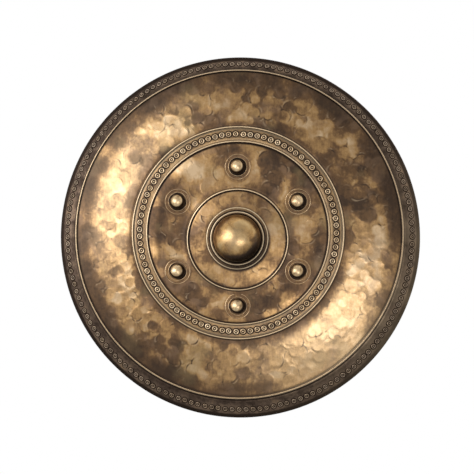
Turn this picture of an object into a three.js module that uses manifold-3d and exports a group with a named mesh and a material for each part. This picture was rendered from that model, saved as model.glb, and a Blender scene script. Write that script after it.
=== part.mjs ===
// Round hammered bronze shield with a rolled rim, ring beads, six boss rivets and a central umbo.
// Lengths are in millimetres. The shield stands upright: its front looks along -Y and +Z is up.
// The origin is on the shield's middle line, in the plane that the rolled rim rests on.
import * as THREE from 'three';
import { mergeVertices } from 'three/addons/utils/BufferGeometryUtils.js';
import Module from 'manifold-3d';

const wasm = await Module();
wasm.setup();

// Shield plate: the flat seat of the bosses lies between the ring's bead and the band's two beads
const shieldRadius = 300;
const plateThickness = 1.4;
const bossCircleRadius = 115;
const seatReach = 22;
const seatInnerMargin = 10;
const seatOuterMargin = 14;
const bandWidth = 24;
const rimBandWidth = 28;
const beadWidth = 5;
const beadRise = 1.9;
const fieldCrown = 2.2;
const flangeCrown = 0.9;

// How far the sheet's middle rises from the rim's plane to its rim bead, and from each ring to the next inside
const rimBeadRise = 21;
const fieldRise = 20;
const bandRiseInward = 2.4;
const seatRise = 2.1;
const ringRise = 1.5;
const umboSeatRise = 3;

// The rings were struck by hand, so their centres lie a little above or below the outline's centre
const rimBeadRaise = 5.8;
const bandRaise = 8.2;
const ringRaise = -3.2;
const umboRaise = -1;

// Rolled rim round its wire
const wireRadius = 2.1;
const rollRadius = 3.4;

// Boss rivets
const bossBallRadius = 12.7;
const bossBallHeight = 2.5;
const shankRadius = 3;
const peenRadius = 5.6;
const peenHeight = 2.2;

// Umbo, with heights counted from the front of the plate under it
const collarRadius = 51.5;
const collarHeight = 4.2;
const upperCollarRadius = 44.6;
const upperCollarHeight = 8.6;
const collarEdge = 1.1;
const collarSeatMargin = 3;
const domeRadius = 40;
const domeRise = 33;
const domeWall = 1.8;
const ledgeWidth = 6;
const ledgeHeight = 3;
const studDiscThickness = 3;
const studRadius = 5;
const studTail = 2;
const washerRadius = 20;
const washerThickness = 2.5;
const nutWidth = 17;
const nutHeight = 8;

// Arm strap on the left pair of rivets
const strapWidth = 32;
const strapThickness = 4;
const strapInset = 16.5;
const strapRootRadius = 5;
const strapCrownHeight = 72;
const strapTabReach = 11;
const roveRadius = 8.5;
const roveThickness = 1.6;

// Hand grip on the right pair of rivets
const eyeBaseWidth = 22;
const eyeBaseReach = 12;
const eyeBaseThickness = 2.5;
const earThickness = 3.5;
const earOffset = 10;
const earRadius = 7.5;
const eyeHeight = 14;
const bailRadius = 3.5;
const bailLength = 46;
const bailCorner = 9;
const bailLegGap = 1.5;
const bailTail = 2.5;
const wrapEndGap = 9.75;
const wrapEndRadius = 8.5;
const wrapMiddleRadius = 11;

// Rings with their clips on the top and bottom rivets
const ringWireRadius = 2;
const ringBarLength = 26;
const ringBowDepth = 13.75;
const clipThickness = 3;
const clipWall = 1.5;
const clipWidth = 16;
const clipReach = 9;
const clipBarrelOffset = 13;

// Padding behind the umbo
const backingThickness = 2.5;
const backingWidth = 112;
const backingInset = 33;
const tabWidth = 32;
const tabReach = 15;
const padWidth = 100;
const padInset = 40;
const padThickness = 20;
const padCornerRadius = 26;
const padEdge = 7;
const padPocketDepth = 8;

// Gap between pieces that touch, play round pins and shanks, and overrun of cuts
const fitGap = 0.3;
const pinPlay = 0.4;
const overrun = 1;

// Facets
const plateSides = 56;
const umboSides = 36;
const bossSides = 14;
const roundSides = 20;
const tubeSides = 6;
const bailSides = 8;
const bailSteps = 40;
const bowSteps = 16;

const bronze = new THREE.MeshStandardMaterial({ color: 0x9a7c50, roughness: 0.42, metalness: 1 });
const polishedBronze = new THREE.MeshStandardMaterial({ color: 0xc29b62, roughness: 0.3, metalness: 1 });
const brass = new THREE.MeshStandardMaterial({ color: 0xa8874e, roughness: 0.4, metalness: 1 });
const steel = new THREE.MeshStandardMaterial({ color: 0x6d6b68, roughness: 0.45, metalness: 1 });
const leather = new THREE.MeshStandardMaterial({ color: 0x5a3723, roughness: 0.7, metalness: 0 });
const darkLeather = new THREE.MeshStandardMaterial({ color: 0x3a261b, roughness: 0.75, metalness: 0 });

const shield = new THREE.Group();

function addPiece(name, geometry, material, parent = shield) {
  const piece = new THREE.Mesh(geometry, material);
  piece.name = name;
  parent.add(piece);
  return piece;
}

// Merges shared corners and drops the faces that shrink to a line on the axis.
function weld(geometry) {
  const bare = geometry.clone();
  bare.deleteAttribute('normal');
  bare.deleteAttribute('uv');
  const merged = mergeVertices(bare);
  const kept = [];
  for (let corner = 0; corner < merged.index.count; corner += 3) {
    const face = [0, 1, 2].map((step) => merged.index.getX(corner + step));
    if (new Set(face).size === face.length) {
      kept.push(...face);
    }
  }
  merged.setIndex(kept);
  merged.computeVertexNormals();
  return merged;
}

function toSolid(geometry) {
  const welded = weld(geometry);
  const vertProperties = welded.attributes.position.array;
  const triVerts = Uint32Array.from(welded.index.array);
  return new wasm.Manifold(new wasm.Mesh({ numProp: 3, vertProperties, triVerts }));
}

function toGeometry(solid) {
  const { vertProperties, triVerts } = solid.getMesh();
  const geometry = new THREE.BufferGeometry();
  geometry.setAttribute('position', new THREE.BufferAttribute(vertProperties, 3));
  geometry.setIndex(new THREE.BufferAttribute(triVerts, 1));
  geometry.computeVertexNormals();
  return geometry;
}

// Revolves [radius, height] points about the Y axis, with height counted towards -Y.
function revolve(profile, sides) {
  const points = profile.map(([radius, height]) => new THREE.Vector2(radius, -height));
  if (points[0].x > 0) {
    points.push(points[0].clone());
  }
  const outline = THREE.ShapeUtils.area(points) < 0 ? points.reverse() : points;
  return weld(new THREE.LatheGeometry(outline, sides));
}

// The closed outline of a sheet of even thickness that is bent along a path of [across, up] points.
function sheetOutline(path, thickness) {
  const points = path.map(([across, up]) => new THREE.Vector2(across, up));
  const last = points.length - 1;
  const endsOnAxis = points[last].x === 0;
  const normals = points.slice(1).map((point, index) => {
    const run = point.clone().sub(points[index]).normalize();
    return new THREE.Vector2(-run.y, run.x);
  });
  const offsets = points.map((point, index) => {
    const before = normals[Math.max(index - 1, 0)];
    const mirrored = new THREE.Vector2(-before.x, before.y);
    const after = normals[index] ?? (endsOnAxis ? mirrored : before);
    const middle = before.clone().add(after).normalize();
    return middle.multiplyScalar(thickness / 2 / middle.dot(before));
  });
  const upper = points.map((point, index) => point.clone().add(offsets[index]));
  const lower = points.map((point, index) => point.clone().sub(offsets[index]));
  return [...upper, ...lower.reverse()].map((point) => [endsOnAxis ? Math.max(point.x, 0) : point.x, point.y]);
}

// A ridge across a path, as three points.
function beadPoints(radius, height, slope) {
  return [
    [radius - beadWidth / 2, height + slope * beadWidth / 2],
    [radius, height + beadRise],
    [radius + beadWidth / 2, height - slope * beadWidth / 2],
  ];
}

// Points between two path points, on a line that is crowned by a parabola.
function crowned(start, end, crown, count) {
  return Array.from({ length: count }, (unused, index) => {
    const share = (index + 1) / (count + 1);
    const bulge = 4 * crown * share * (1 - share);
    return [
      THREE.MathUtils.lerp(start[0], end[0], share),
      THREE.MathUtils.lerp(start[1], end[1], share) + bulge,
    ];
  });
}

// Radii of the rings, and heights of the sheet's middle there
const ringRadius = bossCircleRadius - seatReach - seatInnerMargin;
const bandInnerRadius = bossCircleRadius + seatReach + seatOuterMargin;
const bandOuterRadius = bandInnerRadius + bandWidth;
const rimBeadRadius = shieldRadius - rimBandWidth;
const rimBeadHeight = rimBeadRise;
const bandOuterHeight = rimBeadHeight + fieldRise;
const bandInnerHeight = bandOuterHeight + bandRiseInward;
const bossSeatHeight = bandInnerHeight + seatRise;
const ringHeight = bossSeatHeight + ringRise;
const umboSeatHeight = ringHeight + umboSeatRise;

// Rolled rim: the sheet's middle line is an octagon round the wire, with one side flat on the rim's plane.
const rollStep = Math.PI / 4;
const rollCorners = 7;
const rollApothem = rollRadius * Math.cos(rollStep / 2);
const wireCentreRadius = shieldRadius - rollApothem - plateThickness / 2;
const wireCentreHeight = rollApothem + plateThickness / 2;
const rollPath = Array.from({ length: rollCorners }, (unused, index) => {
  const turn = rollStep * (1.5 - index);
  return [wireCentreRadius + rollRadius * Math.cos(turn), wireCentreHeight + rollRadius * Math.sin(turn)];
});

// How far above the outline's centre the plate's circle of this radius is centred.
const raiseKnots = [
  [0, umboRaise],
  [collarRadius + collarSeatMargin, umboRaise],
  [ringRadius, ringRaise],
  [bandInnerRadius, bandRaise],
  [bandOuterRadius, bandRaise],
  [rimBeadRadius, rimBeadRaise],
  [wireCentreRadius - rollRadius - plateThickness, 0],
];

function raiseAt(radius) {
  const next = raiseKnots.findIndex(([knot]) => knot > radius);
  if (next < 0) {
    return 0;
  }
  const [innerRadius, innerRaise] = raiseKnots[next - 1];
  const [outerRadius, outerRaise] = raiseKnots[next];
  return THREE.MathUtils.mapLinear(radius, innerRadius, outerRadius, innerRaise, outerRaise);
}

const bossRaise = raiseAt(bossCircleRadius);
const boreRadius = studRadius + pinPlay;
const shankHoleRadius = shankRadius + pinPlay;

// Heights of the plate's two faces at the seats of the bosses and of the umbo
const bossSeatFront = bossSeatHeight + plateThickness / 2;
const bossSeatBack = bossSeatHeight - plateThickness / 2;
const umboSeatFront = umboSeatHeight + plateThickness / 2;
const umboSeatBack = umboSeatHeight - plateThickness / 2;

const bossPlaces = ['right_upper', 'top', 'left_upper', 'left_lower', 'bottom', 'right_lower'].map((side, index) => {
  const angle = Math.PI / 6 + index * Math.PI / 3;
  return { side, x: bossCircleRadius * Math.cos(angle), z: bossCircleRadius * Math.sin(angle) + bossRaise };
});

function bossPlace(side) {
  return bossPlaces.find((place) => place.side === side);
}

// A straight pin along Y from one height to another, for cutting holes.
function cutterAlongY(radius, lowHeight, highHeight, x, z, sides = roundSides) {
  const length = highHeight - lowHeight;
  const geometry = new THREE.CylinderGeometry(radius, radius, length, sides);
  geometry.translate(x, -(lowHeight + highHeight) / 2, z);
  return toSolid(geometry);
}

function shieldPlate() {
  const rimSlope = (bandOuterHeight - rimBeadHeight) / (rimBeadRadius - bandOuterRadius);
  const bandSlope = (bandInnerHeight - bandOuterHeight) / (bandOuterRadius - bandInnerRadius);
  const ringBead = beadPoints(ringRadius, ringHeight, 0);
  const innerBead = beadPoints(bandInnerRadius, bandInnerHeight, bandSlope);
  const outerBead = beadPoints(bandOuterRadius, bandOuterHeight, rimSlope);
  const rimBead = beadPoints(rimBeadRadius, rimBeadHeight, rimSlope);
  const path = [
    [boreRadius, umboSeatHeight],
    [collarRadius + collarSeatMargin, umboSeatHeight],
    ...ringBead,
    [bossCircleRadius - seatReach, bossSeatHeight],
    [bossCircleRadius + seatReach, bossSeatHeight],
    ...innerBead,
    ...outerBead,
    ...crowned(outerBead[2], rimBead[0], fieldCrown, 3),
    ...rimBead,
    ...crowned(rimBead[2], rollPath[0], flangeCrown, 1),
    ...rollPath,
  ];
  const geometry = revolve(sheetOutline(path, plateThickness), plateSides);
  const corners = geometry.attributes.position;
  for (let index = 0; index < corners.count; index += 1) {
    const radius = Math.hypot(corners.getX(index), corners.getZ(index));
    corners.setZ(index, corners.getZ(index) + raiseAt(radius));
  }
  let solid = toSolid(geometry);
  for (const { x, z } of bossPlaces) {
    solid = solid.subtract(cutterAlongY(shankHoleRadius, bossSeatBack - overrun, bossSeatFront + overrun, x, z, bossSides));
  }
  return toGeometry(solid);
}

function rimWire() {
  const profile = Array.from({ length: tubeSides }, (unused, index) => {
    const turn = index * 2 * Math.PI / tubeSides;
    return [wireCentreRadius + wireRadius * Math.cos(turn), wireCentreHeight + wireRadius * Math.sin(turn)];
  });
  return revolve(profile, plateSides);
}

addPiece('shield_plate', shieldPlate(), bronze);
addPiece('rim_wire', rimWire(), steel);

// Umbo: a hollow dome and its stud disc, clamped on a stepped collar by a nut behind the plate
const umbo = new THREE.Group();
umbo.position.set(0, -umboSeatFront, umboRaise);
shield.add(umbo);
const collarBase = fitGap;
const ledgeTop = collarBase + ledgeHeight;
const domeBase = ledgeTop + fitGap;
const domeMiddleRadius = domeRadius - domeWall / 2;

function umboCollar() {
  return revolve([
    [domeRadius - ledgeWidth, collarBase],
    [collarRadius, collarBase],
    [collarRadius, collarHeight - collarEdge],
    [collarRadius - collarEdge, collarHeight],
    [upperCollarRadius, collarHeight],
    [upperCollarRadius, upperCollarHeight - collarEdge],
    [upperCollarRadius - collarEdge, upperCollarHeight],
    [domeRadius + fitGap, upperCollarHeight],
    [domeRadius + fitGap, ledgeTop],
    [domeRadius - ledgeWidth, ledgeTop],
  ], umboSides);
}

function umboDome() {
  const steps = 7;
  const path = [[domeMiddleRadius, domeBase]];
  for (let step = 0; step <= steps; step += 1) {
    const turn = step / steps * Math.PI / 2;
    const radius = step === steps ? 0 : domeMiddleRadius * Math.cos(turn);
    path.push([radius, upperCollarHeight + (domeRise - domeWall / 2) * Math.sin(turn)]);
  }
  return revolve(sheetOutline(path, domeWall), umboSides);
}

const washerBack = plateThickness + fitGap + washerThickness;
const nutBack = washerBack + fitGap + nutHeight;

function umboStud() {
  const discRadius = domeRadius - domeWall - fitGap;
  return revolve([
    [0, domeBase + studDiscThickness],
    [discRadius, domeBase + studDiscThickness],
    [discRadius, domeBase],
    [studRadius, domeBase],
    [studRadius, -nutBack - studTail],
    [0, -nutBack - studTail],
  ], roundSides);
}

function umboWasher() {
  return revolve([
    [boreRadius, -washerBack],
    [washerRadius, -washerBack],
    [washerRadius, -washerBack + washerThickness],
    [boreRadius, -washerBack + washerThickness],
  ], roundSides);
}

function umboNut() {
  const hexagon = new THREE.Shape();
  for (let corner = 0; corner < 6; corner += 1) {
    const turn = corner * Math.PI / 3;
    const reach = nutWidth / 2 / Math.cos(Math.PI / 6);
    hexagon.lineTo(reach * Math.cos(turn), reach * Math.sin(turn));
  }
  hexagon.curves.shift();
  hexagon.closePath();
  const bore = new THREE.Path();
  bore.absarc(0, 0, boreRadius, 0, 2 * Math.PI, true);
  hexagon.holes.push(bore);
  const nut = new THREE.ExtrudeGeometry(hexagon, { depth: nutHeight, bevelEnabled: false, curveSegments: roundSides });
  nut.rotateX(-Math.PI / 2);
  nut.translate(0, nutBack - nutHeight, 0);
  return weld(nut);
}

addPiece('umbo_collar', umboCollar(), bronze, umbo);
addPiece('umbo_dome', umboDome(), polishedBronze, umbo);
addPiece('umbo_stud', umboStud(), steel, umbo);
addPiece('umbo_washer', umboWasher(), steel, umbo);
addPiece('umbo_nut', umboNut(), steel, umbo);

// Boss rivets: a round head on the front, a shank, and a tail peened over what it holds on the back
const backStacks = {
  right_upper: eyeBaseThickness,
  right_lower: eyeBaseThickness,
  left_upper: strapThickness + fitGap + roveThickness,
  left_lower: strapThickness + fitGap + roveThickness,
  top: backingThickness + fitGap + clipThickness,
  bottom: backingThickness + fitGap + clipThickness,
};

function bossRivet(stack) {
  const steps = 4;
  const headBase = fitGap;
  const lowTurn = -Math.asin((bossBallHeight - headBase) / bossBallRadius);
  const profile = [];
  for (let step = 0; step <= steps; step += 1) {
    const turn = THREE.MathUtils.lerp(Math.PI / 2, lowTurn, step / steps);
    const radius = step === 0 ? 0 : bossBallRadius * Math.cos(turn);
    profile.push([radius, bossBallHeight + bossBallRadius * Math.sin(turn)]);
  }
  const peenTop = -plateThickness - fitGap - stack - fitGap;
  profile.push([shankRadius, headBase]);
  profile.push([shankRadius, peenTop]);
  profile.push([peenRadius, peenTop]);
  profile.push([peenRadius * Math.SQRT1_2, peenTop - peenHeight]);
  profile.push([0, peenTop - peenHeight]);
  return revolve(profile, bossSides);
}

for (const { side, x, z } of bossPlaces) {
  const rivet = addPiece(`boss_rivet_${side}`, bossRivet(backStacks[side]), polishedBronze);
  rivet.position.set(x, -bossSeatFront, z);
}

// Everything on the back is set out from the back of the boss seats, with +Y leading away from the plate.
const back = new THREE.Group();
back.position.set(0, -bossSeatBack + fitGap, 0);
shield.add(back);

// Arm strap: its two tabs lie under roves, and it arches over the forearm between them
function armStrap(tabSpan) {
  const middle = strapThickness / 2;
  const strapSpan = tabSpan - 2 * strapInset;
  const legInset = strapSpan / 2 + middle;
  const archCentre = strapCrownHeight - legInset;
  const half = [[tabSpan / 2 + strapTabReach, middle]];
  const rootSteps = 3;
  for (let step = 0; step <= rootSteps; step += 1) {
    const turn = step / rootSteps * Math.PI / 2;
    half.push([
      legInset + strapRootRadius * (1 - Math.sin(turn)),
      middle + strapRootRadius * (1 - Math.cos(turn)),
    ]);
  }
  const archSteps = 6;
  for (let step = 0; step < archSteps; step += 1) {
    const turn = step / archSteps * Math.PI / 2;
    half.push([legInset * Math.cos(turn), archCentre + legInset * Math.sin(turn)]);
  }
  const crown = [0, archCentre + legInset];
  const mirrored = half.map(([across, up]) => [-across, up]).reverse();
  const outline = sheetOutline([...half, crown, ...mirrored], strapThickness);
  const shape = new THREE.Shape(outline.map(([across, up]) => new THREE.Vector2(across, up)));
  const strap = new THREE.ExtrudeGeometry(shape, { depth: strapWidth, bevelEnabled: false });
  strap.translate(0, 0, -strapWidth / 2);
  strap.rotateY(-Math.PI / 2);
  let solid = toSolid(strap);
  for (const end of [-1, 1]) {
    solid = solid.subtract(cutterAlongY(shankHoleRadius, -strapThickness - overrun, overrun, 0, end * tabSpan / 2, bossSides));
  }
  return toGeometry(solid);
}

function rove() {
  const low = strapThickness + fitGap;
  return revolve([
    [shankHoleRadius, -low],
    [roveRadius, -low],
    [roveRadius, -low - roveThickness],
    [shankHoleRadius, -low - roveThickness],
  ], bossSides);
}

const leftUpper = bossPlace('left_upper');
const leftLower = bossPlace('left_lower');
const armStrapPiece = addPiece('arm_strap', armStrap(leftUpper.z - leftLower.z), leather, back);
armStrapPiece.position.set(leftUpper.x, 0, bossRaise);
for (const place of [leftUpper, leftLower]) {
  addPiece(`strap_rove_${place.side}`, rove(), brass, back).position.set(place.x, 0, place.z);
}

// Hand grip: a bail whose ends turn in two eyes, with a leather wrap on its bar
function gripEye(outward) {
  const base = new THREE.BoxGeometry(eyeBaseWidth, eyeBaseThickness, 2 * eyeBaseReach);
  base.translate(0, eyeBaseThickness / 2, 0);
  const earShape = new THREE.Shape();
  earShape.moveTo(-earRadius, eyeBaseThickness / 2);
  earShape.lineTo(earRadius, eyeBaseThickness / 2);
  earShape.absarc(0, eyeHeight, earRadius, 0, Math.PI, false);
  earShape.closePath();
  const ear = new THREE.ExtrudeGeometry(earShape, { depth: earThickness, bevelEnabled: false, curveSegments: 8 });
  ear.translate(0, 0, outward * earOffset - earThickness / 2);
  const pinHole = new THREE.CylinderGeometry(bailRadius + pinPlay, bailRadius + pinPlay, earThickness + 2 * overrun, roundSides);
  pinHole.rotateX(Math.PI / 2);
  pinHole.translate(0, eyeHeight, outward * earOffset);
  const rivetHole = cutterAlongY(shankHoleRadius, -eyeBaseThickness - overrun, overrun, 0, 0, bossSides);
  return toGeometry(toSolid(base).add(toSolid(ear)).subtract(toSolid(pinHole)).subtract(rivetHole));
}

class BailPath extends THREE.CurvePath {
  constructor(tailReach, legReach) {
    super();
    const legEnd = legReach - bailCorner;
    const barEnd = bailLength - bailCorner;
    const halfCorner = bailCorner / 2;
    const stops = [
      [0, tailReach], [0, legReach], [bailLength, legReach], [bailLength, -legReach], [0, -legReach], [0, -tailReach],
    ].map(([up, along]) => new THREE.Vector3(0, up, along));
    const bends = [
      [[0, legReach + halfCorner], [halfCorner, legReach]],
      [[barEnd, legReach], [bailLength, legEnd]],
      [[bailLength, -legEnd], [barEnd, -legReach]],
      [[halfCorner, -legReach], [0, -legReach - halfCorner]],
    ].map((pair) => pair.map(([up, along]) => new THREE.Vector3(0, up, along)));
    let start = stops[0];
    bends.forEach(([into, out], index) => {
      this.add(new THREE.LineCurve3(start, into));
      this.add(new THREE.QuadraticBezierCurve3(into, stops[index + 1], out));
      start = out;
    });
    this.add(new THREE.LineCurve3(start, stops[stops.length - 1]));
  }
}

function roundSection(radius, sides) {
  return new THREE.Shape(Array.from({ length: sides }, (unused, index) => {
    const turn = index * 2 * Math.PI / sides;
    return new THREE.Vector2(radius * Math.cos(turn), radius * Math.sin(turn));
  }));
}

const rightUpper = bossPlace('right_upper');
const rightLower = bossPlace('right_lower');
const eyeSpan = rightUpper.z - rightLower.z;
const earInside = eyeSpan / 2 + earOffset - earThickness / 2;
const bailLegReach = earInside - bailLegGap - bailRadius;
const bailTailReach = earInside + earThickness + bailTail;
const wrapLength = 2 * (bailLegReach - bailCorner - wrapEndGap);

function gripBail() {
  const path = new BailPath(bailTailReach, bailLegReach);
  const rod = new THREE.ExtrudeGeometry(roundSection(bailRadius, bailSides), {
    steps: bailSteps,
    extrudePath: path,
    bevelEnabled: false,
  });
  return weld(rod);
}

function gripWrap() {
  const bore = bailRadius + pinPlay;
  const half = wrapLength / 2;
  const steps = 6;
  const profile = [[bore, -half], [bore, half]];
  for (let step = 0; step <= steps; step += 1) {
    const share = 1 - 2 * step / steps;
    const radius = THREE.MathUtils.lerp(wrapMiddleRadius, wrapEndRadius, share * share);
    profile.push([radius, share * half]);
  }
  const wrap = revolve(profile, bossSides);
  wrap.rotateX(Math.PI / 2);
  return wrap;
}

for (const [place, outward] of [[rightUpper, 1], [rightLower, -1]]) {
  addPiece(`grip_eye_${place.side}`, gripEye(outward), brass, back).position.set(place.x, 0, place.z);
}
const grip = new THREE.Group();
grip.position.set(rightUpper.x, eyeHeight, bossRaise);
back.add(grip);
addPiece('grip_bail', gripBail(), steel, grip);
addPiece('grip_wrap', gripWrap(), darkLeather, grip).position.set(0, bailLength, 0);

// Padding: a leather backing held by the top and bottom rivets, with the cushion sewn on it
function roundedOutline(width, length, radius) {
  const shape = new THREE.Shape();
  const x = width / 2 - radius;
  const z = length / 2 - radius;
  shape.absarc(x, z, radius, 0, Math.PI / 2, false);
  shape.absarc(-x, z, radius, Math.PI / 2, Math.PI, false);
  shape.absarc(-x, -z, radius, Math.PI, 3 * Math.PI / 2, false);
  shape.absarc(x, -z, radius, 3 * Math.PI / 2, 2 * Math.PI, false);
  shape.closePath();
  return shape;
}

// Extrudes an outline drawn in X and Z from one distance behind the boss seats to another.
function slab(shape, near, thickness, bevel = 0) {
  const geometry = new THREE.ExtrudeGeometry(shape, {
    depth: thickness - 2 * bevel,
    bevelEnabled: bevel > 0,
    bevelThickness: bevel,
    bevelSize: bevel,
    bevelOffset: -bevel,
    bevelSegments: 2,
    curveSegments: 4,
  });
  geometry.translate(0, 0, near + bevel);
  geometry.rotateX(-Math.PI / 2);
  return geometry;
}

const backingBack = backingThickness;
const padFront = backingBack + fitGap;
const pocketRadius = washerRadius + overrun;
const backingLength = 2 * (bossCircleRadius - backingInset);
const padLength = 2 * (bossCircleRadius - padInset);

function padBacking() {
  const tabs = roundedOutline(tabWidth, 2 * (bossCircleRadius + tabReach), tabWidth / 2);
  const sheet = roundedOutline(backingWidth, backingLength, padCornerRadius);
  let solid = toSolid(slab(sheet, 0, backingThickness)).add(toSolid(slab(tabs, 0, backingThickness)));
  for (const z of [-bossCircleRadius, bossCircleRadius]) {
    solid = solid.subtract(cutterAlongY(shankHoleRadius, -backingThickness - overrun, overrun, 0, z, bossSides));
  }
  const window = cutterAlongY(pocketRadius, -backingThickness - overrun, overrun, 0, umboRaise - bossRaise);
  return toGeometry(solid.subtract(window));
}

function armPad() {
  const cushion = toSolid(slab(roundedOutline(padWidth, padLength, padCornerRadius), padFront, padThickness, padEdge));
  const pocketBack = padFront + padPocketDepth;
  const pocket = cutterAlongY(pocketRadius, -pocketBack, overrun, 0, umboRaise - bossRaise);
  return toGeometry(cushion.subtract(pocket));
}

const padding = new THREE.Group();
padding.position.set(0, 0, bossRaise);
back.add(padding);
addPiece('pad_backing', padBacking(), darkLeather, padding);
addPiece('arm_pad', armPad(), leather, padding);

// Carrying rings: each hangs by its straight bar in a clip under the top or bottom rivet
const barrelInner = ringWireRadius + pinPlay;
const barrelOuter = barrelInner + clipWall;

function ringClip() {
  const shape = new THREE.Shape();
  const rise = clipThickness - barrelOuter;
  const join = Math.PI - Math.asin(rise / barrelOuter);
  shape.moveTo(-clipReach, 0);
  shape.lineTo(clipBarrelOffset, 0);
  shape.absarc(clipBarrelOffset, barrelOuter, barrelOuter, -Math.PI / 2, join, false);
  shape.lineTo(-clipReach, clipThickness);
  shape.closePath();
  const bore = new THREE.Path();
  bore.absarc(clipBarrelOffset, barrelOuter, barrelInner, 0, 2 * Math.PI, true);
  shape.holes.push(bore);
  const clip = new THREE.ExtrudeGeometry(shape, { depth: clipWidth, bevelEnabled: false, curveSegments: 8 });
  clip.translate(0, 0, -clipWidth / 2);
  clip.rotateY(Math.PI / 2);
  const rivetHole = cutterAlongY(shankHoleRadius, -clipThickness - overrun, overrun, 0, 0, bossSides);
  return toGeometry(toSolid(clip).subtract(rivetHole));
}

function carryingRing() {
  const bar = new THREE.CylinderGeometry(ringWireRadius, ringWireRadius, ringBarLength, 2 * tubeSides);
  bar.rotateZ(Math.PI / 2);
  const reach = ringBarLength / 2 - ringWireRadius;
  const bow = new THREE.CatmullRomCurve3(Array.from({ length: 9 }, (unused, index) => {
    const turn = Math.PI * (1 + index / 8);
    return new THREE.Vector3(reach * Math.cos(turn), 0, ringBowDepth * Math.sin(turn));
  }));
  const loop = new THREE.ExtrudeGeometry(roundSection(ringWireRadius, tubeSides), {
    steps: bowSteps,
    extrudePath: bow,
    bevelEnabled: false,
  });
  return toGeometry(toSolid(bar).add(toSolid(loop)));
}

for (const side of ['top', 'bottom']) {
  const { x, z } = bossPlace(side);
  addPiece(`ring_clip_${side}`, ringClip(), brass, back).position.set(x, backingBack + fitGap, z);
  const ring = addPiece(`carrying_ring_${side}`, carryingRing(), brass, back);
  ring.position.set(x, backingBack + fitGap + barrelOuter, z - clipBarrelOffset);
}

export default shield;
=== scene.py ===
import logging
import math
from dataclasses import dataclass
from enum import Enum
from typing import Callable, Sequence

import bpy
import numpy as np
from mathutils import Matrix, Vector


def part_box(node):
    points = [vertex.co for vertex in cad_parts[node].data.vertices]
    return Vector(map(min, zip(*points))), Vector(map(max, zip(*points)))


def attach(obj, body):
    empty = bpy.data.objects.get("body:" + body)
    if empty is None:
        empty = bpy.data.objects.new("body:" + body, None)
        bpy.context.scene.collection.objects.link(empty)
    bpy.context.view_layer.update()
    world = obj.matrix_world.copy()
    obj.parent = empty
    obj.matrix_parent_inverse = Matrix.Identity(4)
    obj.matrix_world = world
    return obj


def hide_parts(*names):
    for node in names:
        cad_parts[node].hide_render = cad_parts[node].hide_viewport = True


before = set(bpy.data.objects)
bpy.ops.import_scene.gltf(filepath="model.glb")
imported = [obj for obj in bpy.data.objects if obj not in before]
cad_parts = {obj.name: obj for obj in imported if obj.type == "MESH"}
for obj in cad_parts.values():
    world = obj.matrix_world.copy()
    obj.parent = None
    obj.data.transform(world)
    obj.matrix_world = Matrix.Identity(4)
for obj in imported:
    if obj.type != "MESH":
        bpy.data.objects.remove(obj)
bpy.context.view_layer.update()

log = logging.getLogger("round_shield")

Array = np.ndarray
Piece = bpy.types.Object
Material = bpy.types.Material
Socket = bpy.types.NodeSocket
Colour = tuple[float, float, float]
Place = tuple[float, float, float]
Point = tuple[float, float]
MeshParts = tuple[Array, Array, Array]
Surface = tuple[Array, dict[str, Array]]
Reach = Callable[[Array], Array]

RIVET_NODES = sorted(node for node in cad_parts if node.startswith("boss_rivet_"))
TURN = 2 * math.pi
SHARP_ANGLE = math.radians(50)
RIVET_HOLE = 0.0032
SEAT_GAP = 0.0003
STITCH_LENGTH = 0.0034
THREAD_RADIUS = 0.00042


class Body(Enum):
    """The bodies that pieces ride on."""

    SHIELD = "shield"
    GRIP = "grip"
    TOP_RING = "top_ring"
    BOTTOM_RING = "bottom_ring"


class Slot(Enum):
    """The record's material slots."""

    PLATE = "plate_bronze"
    BOSS = "boss_bronze"
    FITTING = "fitting_brass"
    CORE = "core_steel"
    STRAP = "strap_leather"
    GRIP = "grip_leather"


class Lie(Enum):
    """How a flat plate lies: the axes that run across, along and through it."""

    ON_SHEET = (0, 2, 1)
    FACING_UP = (0, 1, 2)
    FACING_SIDE = (2, 1, 0)


# Meshes


def add_to_scene(name: str, data: bpy.types.ID) -> Piece:
    """Makes an object of a mesh, a lamp or a camera, and links it to the scene."""
    made = bpy.data.objects.new(name, data)
    bpy.context.scene.collection.objects.link(made)
    return made


def make_object(name: str, points: Array, quads: Array, triangles: Array) -> Piece:
    """Makes a smooth mesh object from arrays of corners and faces.

    Args:
        name: The object's name.
        points: Corner places, one row each, in metres.
        quads: Corner numbers of the four-sided faces, one row each.
        triangles: Corner numbers of the three-sided faces, one row each.

    Returns:
        The new object, linked to the scene.
    """
    if enclosed_volume(points, quads, triangles) < 0:
        quads, triangles = quads[:, ::-1], triangles[:, ::-1]
    mesh = bpy.data.meshes.new(name)
    mesh.from_pydata(points.tolist(), [], quads.tolist() + triangles.tolist())
    mesh.validate()
    mesh.shade_smooth()
    mesh.set_sharp_from_angle(angle=SHARP_ANGLE)
    return add_to_scene(name, mesh)


def enclosed_volume(points: Array, quads: Array, triangles: Array) -> float:
    """Volume inside a closed mesh, below nought where its faces look inwards."""
    fans = np.concatenate([quads[:, [0, 1, 2]], quads[:, [0, 2, 3]], triangles])
    first, second, third = (points[fans[:, corner]] for corner in range(3))
    return float(np.einsum("ij,ij->i", first, np.cross(second, third)).sum() / 6)


def grid_quads(rows: int, columns: int, start: int = 0) -> Array:
    """Faces between rings of corners that follow one another.

    Args:
        rows: How many rings there are.
        columns: How many corners a ring has.
        start: The number of the first corner.

    Returns:
        The corner numbers of the faces, one row of four each.
    """
    row = np.arange(rows - 1)[:, None] * columns
    column = np.arange(columns)[None, :]
    following = (column + 1) % columns
    quads = np.stack([row + column, row + following, row + columns + following, row + columns + column], -1)
    return quads.reshape(-1, 4) + start


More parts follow.
